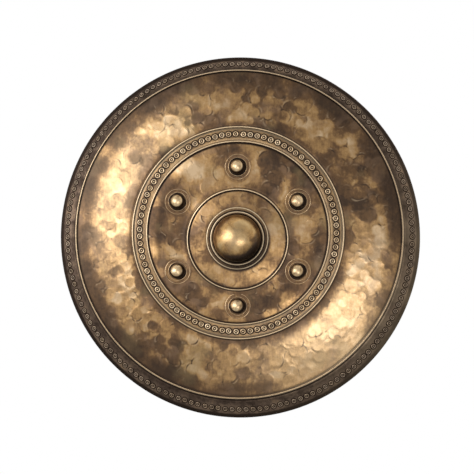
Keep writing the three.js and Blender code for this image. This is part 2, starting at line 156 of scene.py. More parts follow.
def join_parts(parts: Sequence[MeshParts]) -> MeshParts:
    """Joins the points and faces of several meshes.

    Args:
        parts: The points, four-sided faces and three-sided faces of each.

    Returns:
        All the points, the four-sided faces and the three-sided faces.
    """
    starts = np.cumsum([0] + [len(part[0]) for part in parts[:-1]])
    quads = [part[1] + start for part, start in zip(parts, starts)]
    triangles = [part[2] + start for part, start in zip(parts, starts)]
    return np.concatenate([part[0] for part in parts]), np.concatenate(quads), np.concatenate(triangles)


def add_values(made: Piece, name: str, values: Array) -> None:
    """Stores one number for each corner of a mesh, for its material to read."""
    attribute = made.data.attributes.new(name, "FLOAT", "POINT")
    attribute.data.foreach_set("value", values.astype(np.float32).ravel())


def read_places(made: Piece) -> Array:
    """Places of a mesh's corners, one row each."""
    places = np.zeros(len(made.data.vertices) * 3)
    made.data.vertices.foreach_get("co", places)
    return places.reshape(-1, 3)


def write_places(made: Piece, places: Array) -> None:
    """Moves a mesh's corners."""
    made.data.vertices.foreach_set("co", places.ravel())
    made.data.update()


def front_of(node: str) -> Place:
    """The middle of the front of a solid's box."""
    low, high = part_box(node)
    return (low.x + high.x) / 2, low.y, (low.z + high.z) / 2


def even_turns(count: int) -> Array:
    """Angles at even steps, once round."""
    return np.arange(count) * TURN / count


def unit_rows(rows: Array) -> Array:
    """Directions of unit length, one row each."""
    return rows / np.linalg.norm(rows, axis=1)[:, None]


def bell(value: Array, width: float, power: int = 2) -> Array:
    """A smooth hump about nought that is 1 at its top."""
    return np.exp(-((value / width) ** power))


def smooth_step(low: float, high: float, value: Array) -> Array:
    """Rises smoothly from 0 at low to 1 at high."""
    share = np.clip((value - low) / (high - low), 0, 1)
    return share * share * (3 - 2 * share)


def round_corners(path: Sequence[Point], radii: Sequence[float] | float, steps: int) -> Array:
    """Rounds the inner corners of an open path.

    Args:
        path: The path's points.
        radii: The rounding of each inner corner, or one for all of them.
        steps: How many faces a corner gets.

    Returns:
        The points of the rounded path.
    """
    points, several = np.array(path, float), np.broadcast_to(radii, len(path) - 2)
    share = np.linspace(0, 1, steps + 1)[:, None]
    rounded = [points[:1]]
    for before, here, after, radius in zip(points, points[1:], points[2:], several):
        back, ahead = before - here, after - here
        back_length, ahead_length = np.linalg.norm(back), np.linalg.norm(ahead)
        reach = min(radius, 0.45 * back_length, 0.45 * ahead_length)
        start, end = here + back / back_length * reach, here + ahead / ahead_length * reach
        rounded.append((1 - share) ** 2 * start + 2 * share * (1 - share) * here + share**2 * end)
    return np.concatenate([*rounded, points[-1:]])


def lathe(
    name: str, profile: Sequence[Point], centre: Place, sides: int,
    wobble: Callable[[Array, Array], Array] | None = None,
) -> Piece:
    """Turns a closed profile into a round solid, about an axis that points to the front of the shield.

    Args:
        name: The object's name.
        profile: Points of radius and height. One that starts and ends on the axis is closed there.
        centre: The place of the axis at height nought.
        sides: How many faces go round.
        wobble: Adds to the radius, from the angle and the height, for work done by hand.

    Returns:
        The new object.
    """
    radius, height = np.array(profile, float).T
    on_axis = radius[0] < 1e-9 and radius[-1] < 1e-9
    ring = slice(1, -1) if on_axis else slice(None)
    angle = even_turns(sides)
    rows = radius[ring][:, None] * np.ones(sides)
    if wobble is not None:
        rows = rows + wobble(angle[None, :], height[ring][:, None])
    level = height[ring][:, None] * np.ones(sides)
    points = np.stack([rows * np.cos(angle), -level, rows * np.sin(angle)], -1).reshape(-1, 3)
    tips = np.array([(0.0, -height[0], 0.0), (0.0, -height[-1], 0.0)]) if on_axis else None
    points, quads, triangles = close_rows(points, len(rows), sides, tips)
    return make_object(name, points + np.array(centre), quads, triangles)


def close_rows(points: Array, rows: int, columns: int, tips: Array | None = None) -> MeshParts:
    """Makes a closed mesh of rings of corners that follow one another.

    Args:
        points: The corners, ring after ring.
        rows: How many rings there are.
        columns: How many corners a ring has.
        tips: The two points that close the ends, or none if the last ring joins the first.

    Returns:
        All the points, the four-sided faces and the three-sided faces.
    """
    quads = grid_quads(rows, columns)
    here = np.arange(columns)
    following = (here + 1) % columns
    last = (rows - 1) * columns
    if tips is None:
        seam = np.stack([last + here, last + following, following, here], -1)
        return points, np.concatenate([quads, seam]), np.zeros((0, 3), np.int32)
    start_cap = np.stack([np.full(columns, rows * columns), following, here], -1)
    end_cap = np.stack([np.full(columns, rows * columns + 1), last + here, last + following], -1)
    return np.concatenate([points, tips]), quads, np.concatenate([start_cap, end_cap])


def sweep(
    name: str, path: Array, section: Callable[[float], Array], side: Place, closed: bool = False
) -> Piece:
    """Runs a section along a path.

    Args:
        name: The object's name.
        path: The path's points, one row each.
        section: Gives the section's points, across and up, for a share of the path.
        side: A direction that the path never follows, to hold the section upright.
        closed: Whether the path's end joins its start.

    Returns:
        The new object.
    """
    count = len(path)
    ahead = unit_rows(np.roll(path, -1, 0) - np.roll(path, 1, 0) if closed else np.gradient(path, axis=0))
    across = unit_rows(np.cross(ahead, np.array(side, float)))
    up = np.cross(across, ahead)
    rows = []
    for index in range(count):
        outline = section(index / max(count - 1, 1))
        rows.append(path[index] + outline[:, :1] * across[index] + outline[:, 1:] * up[index])
    tips = None if closed else np.array([rows[0].mean(0), rows[-1].mean(0)])
    return make_object(name, *close_rows(np.concatenate(rows), count, len(rows[0]), tips))


def resample(points: Array, step: float, closed: bool = False) -> Array:
    """Points at even steps along a path.

    Args:
        points: The path's points, one row each.
        step: About how far apart the new points are.
        closed: Whether the path's end joins its start.

    Returns:
        The new points.
    """
    whole = np.concatenate([points, points[:1]]) if closed else points
    lengths = np.linalg.norm(np.diff(whole, axis=0), axis=1)
    total = np.concatenate([[0], np.cumsum(lengths)])
    count = max(int(round(total[-1] / step)), 4)
    places = np.linspace(0, total[-1], count + 1)
    places = places[:-1] if closed else places
    return np.stack([np.interp(places, total, whole[:, axis]) for axis in range(whole.shape[1])], -1)


def outline_normals(outline: Array) -> Array:
    """Directions that point out of a closed outline which runs anticlockwise."""
    run = np.roll(outline, -1, 0) - np.roll(outline, 1, 0)
    return unit_rows(np.stack([run[:, 1], -run[:, 0]], -1))


def place_flat(flat: Array, origin: Place, lie: Lie) -> Array:
    """Puts the points of a flat piece in the frame.

    Args:
        flat: How far each point lies across, along and, if it is given, through the piece.
        origin: The place of the piece's own origin.
        lie: The way that it lies.

    Returns:
        The places, one row each.
    """
    placed = np.zeros((len(flat), 3))
    placed[:, list(lie.value)[: flat.shape[1]]] = flat
    return placed + np.array(origin)


def pierced_plate(
    name: str, outer: Array, inner: Array, thickness: float, edge: float, origin: Place, lie: Lie
) -> Piece:
    """A flat plate with one hole and rounded edges.

    Args:
        name: The object's name.
        outer: The outline, anticlockwise.
        inner: The hole, anticlockwise, with as many points.
        thickness: The plate's thickness.
        edge: The rounding of its edges.
        origin: The place of its first face, where the outlines have their origin.
        lie: The way that it lies.

    Returns:
        The new object.
    """
    rows = []
    for loop, way in ((outer, -1.0), (inner, 1.0)):
        out = outline_normals(loop)
        for low, high in ((0.0, 1.0), (1.0, 0.0)):
            for turn in np.linspace(low, high, 4) * math.pi / 2:
                inset = edge * (1 - math.sin(turn))
                rise = edge * (1 - math.cos(turn))
                through = rise if (low < high) == (way < 0) else thickness - rise
                rows.append(np.column_stack([loop + out * inset * way, np.full(len(loop), through)]))
    placed = place_flat(np.concatenate(rows), origin, lie)
    return make_object(name, *close_rows(placed, len(rows), len(outer)))


def loop_points(reach: Reach, count: int) -> Array:
    """An outline that is given by its reach in each direction."""
    turn = even_turns(count)
    return np.stack([reach(turn) * np.cos(turn), reach(turn) * np.sin(turn)], -1)


def rounded_box_reach(width: float, length: float, corner: float) -> Reach:
    """Reach of a rectangle with round corners, in each direction from its middle.

    Args:
        width: Its size across.
        length: Its size along.
        corner: The radius of its corners.

    Returns:
        A function from angle to reach.
    """
    half_across, half_along = width / 2, length / 2

    def reach(turn: Array) -> Array:
        """Distance from the middle to the outline.

        Args:
            turn: The directions.

        Returns:
            The distance in each.
        """
        across, along = np.abs(np.cos(turn)), np.abs(np.sin(turn))
        straight = np.minimum(half_across / np.maximum(across, 1e-9), half_along / np.maximum(along, 1e-9))
        x, y = half_across - corner, half_along - corner
        forward = across * x + along * y
        inside = forward**2 - (x * x + y * y - corner * corner)
        arc = forward + np.sqrt(np.maximum(inside, 0))
        at_corner = (across * straight > x) & (along * straight > y)
        return np.where(at_corner, arc, straight)

    return reach


def stitch_row(
    name: str, places: Array, runs: Array, length: float = STITCH_LENGTH, radius: float = THREAD_RADIUS
) -> Piece:
    """A row of stitches: short rounded lengths of thread, joined in one mesh.

    Args:
        name: The object's name.
        places: The middle of each stitch.
        runs: The direction of each stitch.
        length: A stitch's length.
        radius: The thread's radius.

    Returns:
        The new object.
    """
    sides, steps = 6, 6
    along = np.cos(np.linspace(0, math.pi, steps + 1)[1:-1])
    girth = np.sqrt(1 - along**2) ** 0.6
    runs = unit_rows(runs)
    helper = np.where(np.abs(runs[:, 1:2]) < 0.8, np.array([[0.0, 1.0, 0.0]]), np.array([[1.0, 0.0, 0.0]]))
    first = unit_rows(np.cross(runs, helper))
    second = np.cross(runs, first)
    turn = even_turns(sides)[:, None]
    parts = []
    for place, run, one, two in zip(places, runs, first, second):
        ring = one * np.cos(turn) + two * np.sin(turn)
        rows = [place + run * length / 2 * far + ring * radius * wide for far, wide in zip(along, girth)]
        tips = np.array([place + run * length / 2, place - run * length / 2])
        parts.append(close_rows(np.concatenate(rows), len(rows), sides, tips))
    return make_object(name, *join_parts(parts))


def circle_section(radius: float, sides: int = 20) -> Array:
    """Points of a circle."""
    return loop_points(lambda turn: radius, sides)


@dataclass(frozen=True)
class Undulation:
    """Smooth random unevenness over a plane, the same on every run."""

    seed: int
    wave: float

    def __call__(self, across: Array, up: Array) -> Array:
        """Gives the unevenness, from about -1 to 1.

        Args:
            across: Places in metres.
            up: Places in metres, of the same shape.

        Returns:
            One number for each place.
        """
        cells = 64
        lattice = np.random.default_rng(self.seed).uniform(-1, 1, (cells, cells))
        x, y = across / self.wave + cells / 2, up / self.wave + cells / 2
        column, row = np.floor(x).astype(int), np.floor(y).astype(int)
        fx, fy = x - column, y - row
        sx, sy = fx**3 * (fx * (6 * fx - 15) + 10), fy**3 * (fy * (6 * fy - 15) + 10)

        low, high = (
            lattice[line, column % cells] * (1 - sx) + lattice[line, (column + 1) % cells] * sx
            for line in (row % cells, (row + 1) % cells)
        )
        return low * (1 - sy) + high * sy


# Materials


class NodeGraph:
    """A node tree in the making, with short ways to add its nodes."""

    def __init__(self, tree: bpy.types.NodeTree) -> None:
        """Starts with an empty tree."""
        self.tree = tree
        tree.nodes.clear()

    def add(self, kind: str, inputs: dict[str | int, object], **settings: object) -> bpy.types.Node:
        """Adds a node.

        Args:
            kind: Its type, without the words that all types start with.
            inputs: What its sockets get.
            settings: Its own settings.

        Returns:
            The node.
        """
        node = self.tree.nodes.new(f"ShaderNode{kind}")
        for setting, value in settings.items():
            setattr(node, setting, value)
        for name, value in inputs.items():
            self.feed(node.inputs[name], value)
        return node

    def feed(self, socket: Socket, value: object) -> None:
        """Links or sets a socket.

        Args:
            socket: The socket.
            value: Another socket, a number, a vector or colour, or None to leave it as it is.
        """
        if isinstance(value, Socket):
            self.tree.links.new(value, socket)
        elif isinstance(value, tuple):
            socket.default_value = (*value, 1.0) if socket.type == "RGBA" else value
        elif value is not None:
            socket.default_value = value

    def calculate(self, way: str, *values: object) -> Socket:
        """Does one sum on numbers, by a math node's operation."""
        return self.add("Math", dict(enumerate(values)), operation=way).outputs[0]

    def span(self, *numbers: object) -> Socket:
        """Maps a number, from one low and high smoothly to another low and high, held at the ends."""
        return self.add("MapRange", dict(enumerate(numbers)), interpolation_type="SMOOTHSTEP").outputs[0]


class ShaderGraph(NodeGraph):
    """A material in the making."""

    def __init__(self, name: str) -> None:
        """Makes an empty material with a principled shader.

        Args:
            name: The material's name.
        """
        self.material = bpy.data.materials.new(name)
        self.material.use_nodes = True
        super().__init__(self.material.node_tree)
        self.shader = self.add("BsdfPrincipled", {})
        self.add("OutputMaterial", {"Surface": self.shader.outputs[0]})
        self.place = self.add("TexCoord", {}).outputs["Object"]

    def finish(self, inputs: dict[str, object]) -> Material:
        """Links or sets the shader's own inputs.

        Args:
            inputs: What its sockets get.

        Returns:
            The material.
        """
        for name, value in inputs.items():
            self.feed(self.shader.inputs[name], value)
        return self.material

    def stretched(self, scales: Place) -> Socket:
        """Object places, stretched along the axes, for streaks."""
        return self.add("Mapping", {"Vector": self.place, "Scale": scales}).outputs[0]

    def noise(
        self, size: float, detail: float = 4.0, rough: float = 0.55, twist: float = 0.0,
        where: Socket | None = None,
    ) -> Socket:
        """Cloudy noise.

        Args:
            size: How wide its clouds are, in metres.
            detail: How many finer layers it has.
            rough: How strong the finer layers are.
            twist: How much it is distorted.
            where: The places that it is read at, if not the object's own.

        Returns:
            A socket from about 0.2 to 0.8.
        """
        inputs = {"Scale": 1 / size, "Detail": detail, "Roughness": rough, "Distortion": twist}
        return self.add("TexNoise", {"Vector": self.place if where is None else where, **inputs}).outputs[0]

    def cells(self, size: float) -> Socket:
        """Distance to the middle of random cells, from 0 to about 1, for grain."""
        return self.add("TexVoronoi", {"Vector": self.place, "Scale": 1 / size}).outputs["Distance"]

    def attribute(self, name: str) -> Socket:
        """Reads the numbers that a mesh holds for its corners."""
        return self.add("Attribute", {}, attribute_name=name).outputs["Fac"]

    def ramp(self, value: Socket, *stops: tuple[float, Colour]) -> Socket:
        """Turns a number into a colour.

        Args:
            value: The number.
            stops: Pairs of a place from 0 to 1 and the colour there.

        Returns:
            The colour's socket.
        """
        node = self.add("ValToRGB", {"Fac": value})
        elements = node.color_ramp.elements
        while len(elements) < len(stops):
            elements.new(0.5)
        for element, (place, colour) in zip(elements, stops):
            element.position = place
            element.color = (*colour, 1.0)
        return node.outputs["Color"]

    def blend(self, share: object, first: object, second: object) -> Socket:
        """Mixes two colours, by how much of the second there is."""
        return self.add("Mix", {0: share, 6: first, 7: second}, data_type="RGBA").outputs[2]

    def sway(self, noise: Socket, gain: float, base: object) -> Socket:
        """A noise's swing about its middle, times a gain, added to a number."""
        return self.calculate("MULTIPLY_ADD", self.calculate("SUBTRACT", noise, 0.5), gain, base)

    def bump(self, height: object, depth: float, strength: float = 1.0, under: object = None) -> Socket:
        """Fine relief.

        Args:
            height: The relief's height, from 0 to 1.
            depth: Its depth in metres.
            strength: How much of it shows.
            under: The relief that it lies on, if there is one.

        Returns:
            The normal's socket.
        """
        inputs = {"Strength": strength, "Distance": depth, "Height": height, "Normal": under}
        return self.add("Bump", inputs).outputs[0]


@dataclass(frozen=True)
class BronzeFinish:
    """Bronze or brass with an antique patina.

    Meshes may hold numbers for the patina's tone, for darkening by soiling and painted shade, and for
    brightening by wear and painted highlights.
    """

    name: str
    light: Colour = (0.71, 0.51, 0.305)
    gold: Colour = (0.46, 0.273, 0.114)
    brown: Colour = (0.168, 0.095, 0.047)
    dark: Colour = (0.064, 0.040, 0.026)
    soot_and_shade: Colour = (0.013, 0.008, 0.005)
    olive: Colour = (0.30, 0.225, 0.11)
    rose: Colour = (0.30, 0.19, 0.118)
    worn_and_highlight: Colour = (0.92, 0.70, 0.44)
    patches: float = 0.045
    brightness: float = 0.0
    smoothest: float = 0.29
    roughest: float = 0.44
    wax: float = 0.12
    reads_tone: bool = False
    reads_wear_and_shade: bool = True

    def make(self) -> Material:
        """Builds the material.

        Returns:
            The material.
        """
        graph = ShaderGraph(self.name)
        clouds = graph.noise(self.patches, 4.0, 0.55, 0.5)
        flecks = graph.noise(self.patches / 9, 3.0, 0.6)
        streaks = graph.noise(0.004, 3.0, 0.6, 0.2, graph.stretched((1.0, 1.0, 0.16)))
        level = graph.sway(clouds, 1.5, 0.5 + self.brightness)
        if self.reads_tone:
            own = graph.calculate("MULTIPLY", graph.attribute("tone"), 0.72)
            level = graph.calculate("MULTIPLY_ADD", level, 0.36, own)
        level = graph.sway(streaks, 0.22, graph.sway(flecks, 0.30, level))
        stops = ((0.16, self.dark), (0.42, self.brown), (0.62, self.gold), (0.88, self.light))
        tone = graph.ramp(level, *stops)
        greenish = graph.span(graph.noise(self.patches * 1.3, 2.0), 0.55, 0.70, 0.0, 0.30)
        tone = graph.blend(greenish, tone, self.olive)
        rosy = graph.span(graph.noise(self.patches * 0.8, 2.0, 0.5, 1.0), 0.52, 0.66, 0.0, 0.3)
        tone = graph.blend(rosy, tone, self.rose)
        rough = graph.span(level, 0.25, 0.75, self.roughest, self.smoothest)
        # Soiling and painted shade from the mesh darken the tone; wear and painted highlights from the mesh
        # brighten it.
        if self.reads_wear_and_shade:
            grime_and_shade = graph.attribute("grime_and_shade")
            broken = graph.calculate("MULTIPLY", grime_and_shade, graph.span(flecks, 0.3, 0.7, 1.0, 0.8))
            tone = graph.blend(graph.span(broken, 0.0, 0.6, 0.0, 1.0), tone, self.dark)
            tone = graph.blend(graph.span(broken, 0.55, 1.0, 0.0, 1.0), tone, self.soot_and_shade)
            tone = graph.blend(graph.attribute("rubbing_and_highlight"), tone, self.worn_and_highlight)
            rough = graph.calculate("MULTIPLY_ADD", grime_and_shade, 0.14, rough)
        grain = graph.bump(graph.noise(0.0016, 3.0, 0.6), 0.00003, 0.35)
        return graph.finish({
            "Base Color": tone, "Metallic": 1.0, "Roughness": rough, "Coat Weight": self.wax,
            "Coat Roughness": 0.32, "Normal": graph.bump(streaks, 0.00012, 0.30, grain),
        })


@dataclass(frozen=True)
class SteelFinish:
    """Darkened iron or steel with worn spots."""

    name: str
    light: Colour = (0.24, 0.23, 0.22)
    dark: Colour = (0.07, 0.062, 0.056)
    rust: Colour = (0.14, 0.065, 0.035)

    def make(self) -> Material:
        """Builds the material.

        Returns:
            The material.
        """
        graph = ShaderGraph(self.name)
        clouds = graph.noise(0.012, 5.0, 0.65)
        tone = graph.ramp(clouds, (0.36, self.dark), (0.62, self.light))
        tone = graph.blend(graph.span(graph.noise(0.007, 4.0), 0.56, 0.7, 0.0, 0.7), tone, self.rust)
        return graph.finish({
            "Base Color": tone, "Metallic": 0.9, "Roughness": graph.span(clouds, 0.3, 0.7, 0.55, 0.36),
            "Normal": graph.bump(graph.noise(0.0009, 4.0, 0.6), 0.00008, 0.8),
        })


@dataclass(frozen=True)
class LeatherFinish:
    """Vegetable-tanned leather with pebble grain, creases and darker worn edges."""

    name: str
    light: Colour
    dark: Colour
    grain: float = 0.0016
    rough: float = 0.52

    def make(self) -> Material:
        """Builds the material.

        Returns:
            The material.
        """
        graph = ShaderGraph(self.name)
        clouds = graph.noise(0.03, 5.0, 0.6, 0.3)
        tone = graph.ramp(clouds, (0.34, self.dark), (0.66, self.light))
        pores = graph.cells(self.grain)
        tone = graph.blend(graph.span(pores, 0.35, 0.75, 0.0, 0.5), tone, self.dark)
        creases = graph.noise(0.009, 4.0, 0.7, 1.5)
        tone = graph.blend(graph.span(creases, 0.58, 0.7, 0.0, 0.35), tone, self.dark)
        rough = graph.span(clouds, 0.3, 0.7, self.rough + 0.12, self.rough - 0.08)
        pebbles = graph.bump(graph.calculate("SUBTRACT", 1.0, pores), 0.00022, 0.55)
        return graph.finish({
            "Base Color": tone, "Roughness": rough, "Specular IOR Level": 0.45, "Sheen Weight": 0.08,
            "Normal": graph.bump(creases, 0.0006, 0.35, pebbles),
        })


@dataclass(frozen=True)
class ThreadFinish:
    """Waxed linen thread."""

    name: str
    colour: Colour

    def make(self) -> Material:
        """Builds the material.

        Returns:
            The material.
        """
        graph = ShaderGraph(self.name)
        fuzz = graph.noise(0.0008, 3.0, 0.7)
        tone = graph.ramp(fuzz, (0.35, tuple(0.5 * part for part in self.colour)), (0.65, self.colour))
        return graph.finish({
            "Base Color": tone, "Roughness": 0.7, "Sheen Weight": 0.2,
            "Normal": graph.bump(fuzz, 0.0001, 0.6),
        })


class Finishes:
    """Every finish of the shield, made once."""

    def __init__(self) -> None:
        """Makes the materials."""
        self.plate = BronzeFinish("hammered_bronze", reads_tone=True).make()
        self.rim = BronzeFinish(
            "rim_bronze", light=(0.3, 0.2, 0.12), gold=(0.205, 0.143, 0.1), brown=(0.108, 0.075, 0.055),
            dark=(0.033, 0.022, 0.016), olive=(0.12, 0.085, 0.05), rose=(0.17, 0.11, 0.08), patches=0.02,
            wax=0.0,
        ).make()
        self.circlets = BronzeFinish(
            "circlet_bronze", patches=0.012, brightness=0.10, worn_and_highlight=(0.85, 0.67, 0.445)
        ).make()
        self.rim_circlets = BronzeFinish(
            "rim_circlet_bronze", light=(0.3, 0.21, 0.13), gold=(0.22, 0.15, 0.085),
            brown=(0.14, 0.095, 0.06), worn_and_highlight=(0.44, 0.345, 0.26), patches=0.012, wax=0.0,
        ).make()
        self.dome = BronzeFinish(
            "dome_bronze", light=(0.70, 0.48, 0.23), gold=(0.54, 0.32, 0.12), brown=(0.26, 0.14, 0.055),
            worn_and_highlight=(0.92, 0.73, 0.45), patches=0.022, brightness=0.06, smoothest=0.30, roughest=0.37,
        ).make()
        self.collar = BronzeFinish(
            "collar_bronze", dark=(0.08, 0.05, 0.029), worn_and_highlight=(0.94, 0.74, 0.48), patches=0.014,
        ).make()
        self.boss = BronzeFinish(
            "boss_bronze", light=(0.92, 0.72, 0.45), gold=(0.74, 0.53, 0.29), brown=(0.44, 0.29, 0.145),
            patches=0.010, brightness=0.15, smoothest=0.34, roughest=0.44,
        ).make()
        self.brass = BronzeFinish("aged_brass", patches=0.012, brightness=0.02, reads_wear_and_shade=False).make()
        self.steel = SteelFinish("darkened_steel").make()
        self.strap = LeatherFinish("strap_leather", (0.155, 0.062, 0.028), (0.060, 0.024, 0.012)).make()
        self.dark_leather = LeatherFinish("dark_leather", (0.075, 0.036, 0.02), (0.028, 0.014, 0.009)).make()
        self.thread = ThreadFinish("linen_thread", (0.52, 0.42, 0.27)).make()


def dress(made: Piece, material: Material, slot: Slot, *nodes: str, body: Body = Body.SHIELD) -> None:
    """Gives a piece its finish and body, hides the solids that it stands for, and reports it.

    Args:
        made: The piece.
        material: Its finish.
        slot: The record's material slot; not used.
        nodes: The solids that it replaces.
        body: The body that it rides on.
    """
    made.data.materials.clear()
    made.data.materials.append(material)
    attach(made, body.value)
    if nodes:
        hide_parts(*nodes)
    log.info("%s: %d faces on %s", made.name, len(made.data.polygons), body.value)


# The plate


@dataclass
class PlateForm:
    """The shape of the sheet's middle, and the hammer work on it. Heights are counted to the front."""

    edge: float = 0.300
    thickness: float = 0.0014
    bore: float = 0.0054
    collar_seat: float = 0.0545
    ring_bead: float = 0.083
    seat_inner: float = 0.093
    boss_circle: float = 0.115
    seat_outer: float = 0.137
    band_inner: float = 0.151
    band_outer: float = 0.175
    rim_bead: float = 0.272
    umbo_seat_height: float = 0.0500
    ring_height: float = 0.0470
    boss_seat_height: float = 0.0455
    band_inner_height: float = 0.0434
    band_outer_height: float = 0.0410
    rim_bead_height: float = 0.0210
    field_crown: float = 0.0022
    flange_crown: float = 0.0009
    bead_width: float = 0.0042
    bead_rise: float = 0.0019
    groove_width: float = 0.0020
    groove_depth: float = 0.0005
    roll_radius: float = 0.003141
    roll_turns: tuple[float, float] = (60.0, -196.0)
    umbo_raise: float = -0.001
    ring_raise: float = -0.0032
    band_raise: float = 0.0082
    rim_raise: float = 0.0058
    level_edge: float = 0.0087
    blow_spacing: float = 0.0098
    # Sides of the field, as angle and gain, where lamp glare is painted into the tone and brightening.
    glare_sides: tuple[tuple[float, float], ...] = ((160.0, 0.14), (-50.0, 0.22))
    # The side where a highlight is painted on the rim.
    rim_highlight_side: float = -20.0
    seed: int = 7

    def __post_init__(self) -> None:
        """Works out the base line, the raises and the blows."""
        self.beads_at = (self.ring_bead, self.band_inner, self.band_outer, self.rim_bead)
        self.roll_start = self.round_wire(np.radians(self.roll_turns[0]), self.roll_radius)
        half_bead = self.bead_width / 2
        knots = np.array([
            (self.bore, self.umbo_seat_height), (self.collar_seat, self.umbo_seat_height),
            (self.ring_bead - half_bead, self.ring_height), (self.ring_bead + half_bead, self.ring_height),
            (self.seat_inner, self.boss_seat_height), (self.seat_outer, self.boss_seat_height),
            (self.band_inner, self.band_inner_height), (self.band_outer, self.band_outer_height),
            (self.rim_bead, self.rim_bead_height), tuple(self.roll_start),
        ])
        self.samples = np.linspace(0, self.edge, 1201)
        line = np.interp(self.samples, knots[:, 0], knots[:, 1])
        line += self._crown(self.band_outer, self.rim_bead, self.field_crown)
        line += self._crown(self.rim_bead, self.roll_start[0], self.flange_crown)
        span = 32
        weights = bell(np.arange(-span, span + 1), 14)
        soft = np.convolve(np.pad(line, span, mode="edge"), weights / weights.sum(), "valid")
        near_roll = smooth_step(self.roll_start[0] - 0.012, self.roll_start[0] - 0.004, self.samples)
        self.base = soft * (1 - near_roll) + line * near_roll
        self.bosses = self._boss_places()
        self.slow_wave, self.quick_wave = Undulation(self.seed, 0.046), Undulation(self.seed + 1, 0.021)
        self.tone_wave = Undulation(self.seed + 2, 0.062)
        self.fine_tone_wave = Undulation(self.seed + 3, 0.027)
        self.dent_wave, self.fine_dent_wave = Undulation(23, 0.03), Undulation(19, 0.011)
        draw = np.random.default_rng(self.seed)
        zones = ((0.186, 0.258, 1.0), (0.090, 0.145, 0.4), (0.060, 0.077, 0.4))
        self.blows = np.concatenate([self._blow_places(draw, *zone) for zone in zones])

    def round_wire(self, turns: Array, radius: float) -> Array:
        """Radius and height of points on a circle about the middle of the rim's wire."""
        inset = self.roll_radius + self.thickness / 2
        return np.stack([self.edge - inset + radius * np.cos(turns), inset + radius * np.sin(turns)], -1)

    def _crown(self, start: float, end: float, rise: float) -> Array:
        """A low arch between two radii, at the sampled radii."""
        share = np.clip((self.samples - start) / (end - start), 0, 1)
        return 4 * rise * share * (1 - share)

    def _boss_places(self) -> Array:
        """Middles of the six boss rivets, in X and Z, without their raise."""
        lift = self.raise_at(np.array([self.boss_circle]))[0]
        return np.array([(x, z - lift) for x, _front, z in map(front_of, RIVET_NODES)])

    def _blow_places(self, draw: np.random.Generator, start: float, end: float, strength: float) -> Array:
        """The hammer's blows between two radii, in the order in which they were struck.

        Args:
            draw: Where the hand's unevenness comes from.
            start: The smallest radius.
            end: The largest radius.
            strength: How deep they are, where 1 is the depth in the field.

        Returns:
            One row for each blow: X, Z, radius, depth, two tilts, tone, the direction of its painted edge
                shading,
            how plain that shading is, and its strength.
        """
        spacing = self.blow_spacing
        blows = []
        radius = start
        while radius < end:
            count = int(TURN * radius / spacing)
            turns = (np.arange(count) + draw.uniform(-0.45, 0.45, count)) * TURN / count
            reach = radius + draw.uniform(-0.5, 0.5, count) * spacing
            across, up = reach * np.cos(turns), reach * np.sin(turns)
            # Less random tone where glare is painted.
            calmed = 1 - 0.5 * sum(self.glare_lobe(middle, across, up) for middle, _gain in self.glare_sides)
            tone = self.clouds(across, up) + draw.uniform(-0.25, 0.25, count) * calmed
            size = draw.uniform(0.0080, 0.0150, count)
            depth = draw.uniform(0.00004, 0.00022, count) * strength
            tilts = draw.normal(0, 0.013, (2, count)) * strength
            side, plainness = draw.uniform(0, TURN, count), draw.uniform(0, 1, count) ** 1.4
            every = np.full(count, strength)
            blows.append(np.stack([across, up, size, depth, *tilts, tone, side, plainness, every], -1))
            radius += spacing * 0.9
        struck = np.concatenate(blows)
        return struck[draw.permutation(len(struck))]

    def clouds(self, across: Array, up: Array) -> Array:
        """The patina's own light and dark clouds, lighter on the left and lower-right sides of the field
        where glare is painted.

        Args:
            across: X of each place.
            up: Z of each place before the raise.

        Returns:
            The tone, about 0.5 in the mean.
        """
        radius = np.hypot(across, up)
        in_field = smooth_step(self.band_outer - 0.01, self.band_outer + 0.02, radius)
        in_boss_zone = smooth_step(self.ring_bead, self.ring_bead + 0.01, radius) * (1 - in_field)
        tone = 0.5 + 0.24 * self.tone_wave(across, up)
        tone = tone + (0.26 + 0.32 * in_boss_zone) * self.fine_tone_wave(across, up)
        # Painted glare lifts the tone on the left and lower-right sides of the field.
        for middle, gain in self.glare_sides:
            tone = tone + in_field * self.glare_lobe(middle, across, up) * gain * (1 - 3.5 * (tone - 0.5))
        on_ring = 1 - smooth_step(self.ring_bead - 0.004, self.ring_bead, radius)
        tone = 0.5 + (tone - 0.5) * (1 - 0.55 * on_ring)
        return np.maximum(tone - 0.03 * in_field - 0.12 * in_boss_zone, 0.10)

    def glare_lobe(self, middle: float, across: Array, up: Array) -> Array:
        """How much a place lies in the glare painted on the side at this angle, from 0 to 1."""
        away = np.abs((np.arctan2(up, across) - math.radians(middle) + math.pi) % TURN - math.pi)
        return bell(away, math.radians(36))

    def raise_at(self, radius: Array) -> Array:
        """How far above the outline's centre each circle was struck.

        Args:
            radius: The circles' radii.

        Returns:
            The raise of each.
        """
        knots = (
            (0.0, self.umbo_raise), (self.collar_seat, self.umbo_raise), (self.ring_bead, self.ring_raise),
            (self.band_inner, self.band_raise), (self.band_outer, self.band_raise),
            (self.rim_bead, self.rim_raise), (self.edge - self.level_edge, 0.0),
        )
        return np.interp(radius, *zip(*knots))

    def beads(self, radius: Array) -> Array:
        """Relief of the four beads and their grooves.

        Args:
            radius: The radii.

        Returns:
            The height that they add at each.
        """
        added = np.zeros_like(radius)
        for bead in self.beads_at:
            away = np.abs(radius - bead)
            inside = np.clip(1 - (away / (self.bead_width / 2)) ** 2, 0, None)
            added += self.bead_rise * inside**0.75
            added -= self.groove_depth * bell(away - self.bead_width / 2 - 0.0007, self.groove_width / 2)
        return added

    def base_height(self, radius: Array) -> Array:
        """Height of the sheet's middle before the hammer work."""
        return np.interp(radius, self.samples, self.base) + self.beads(radius)

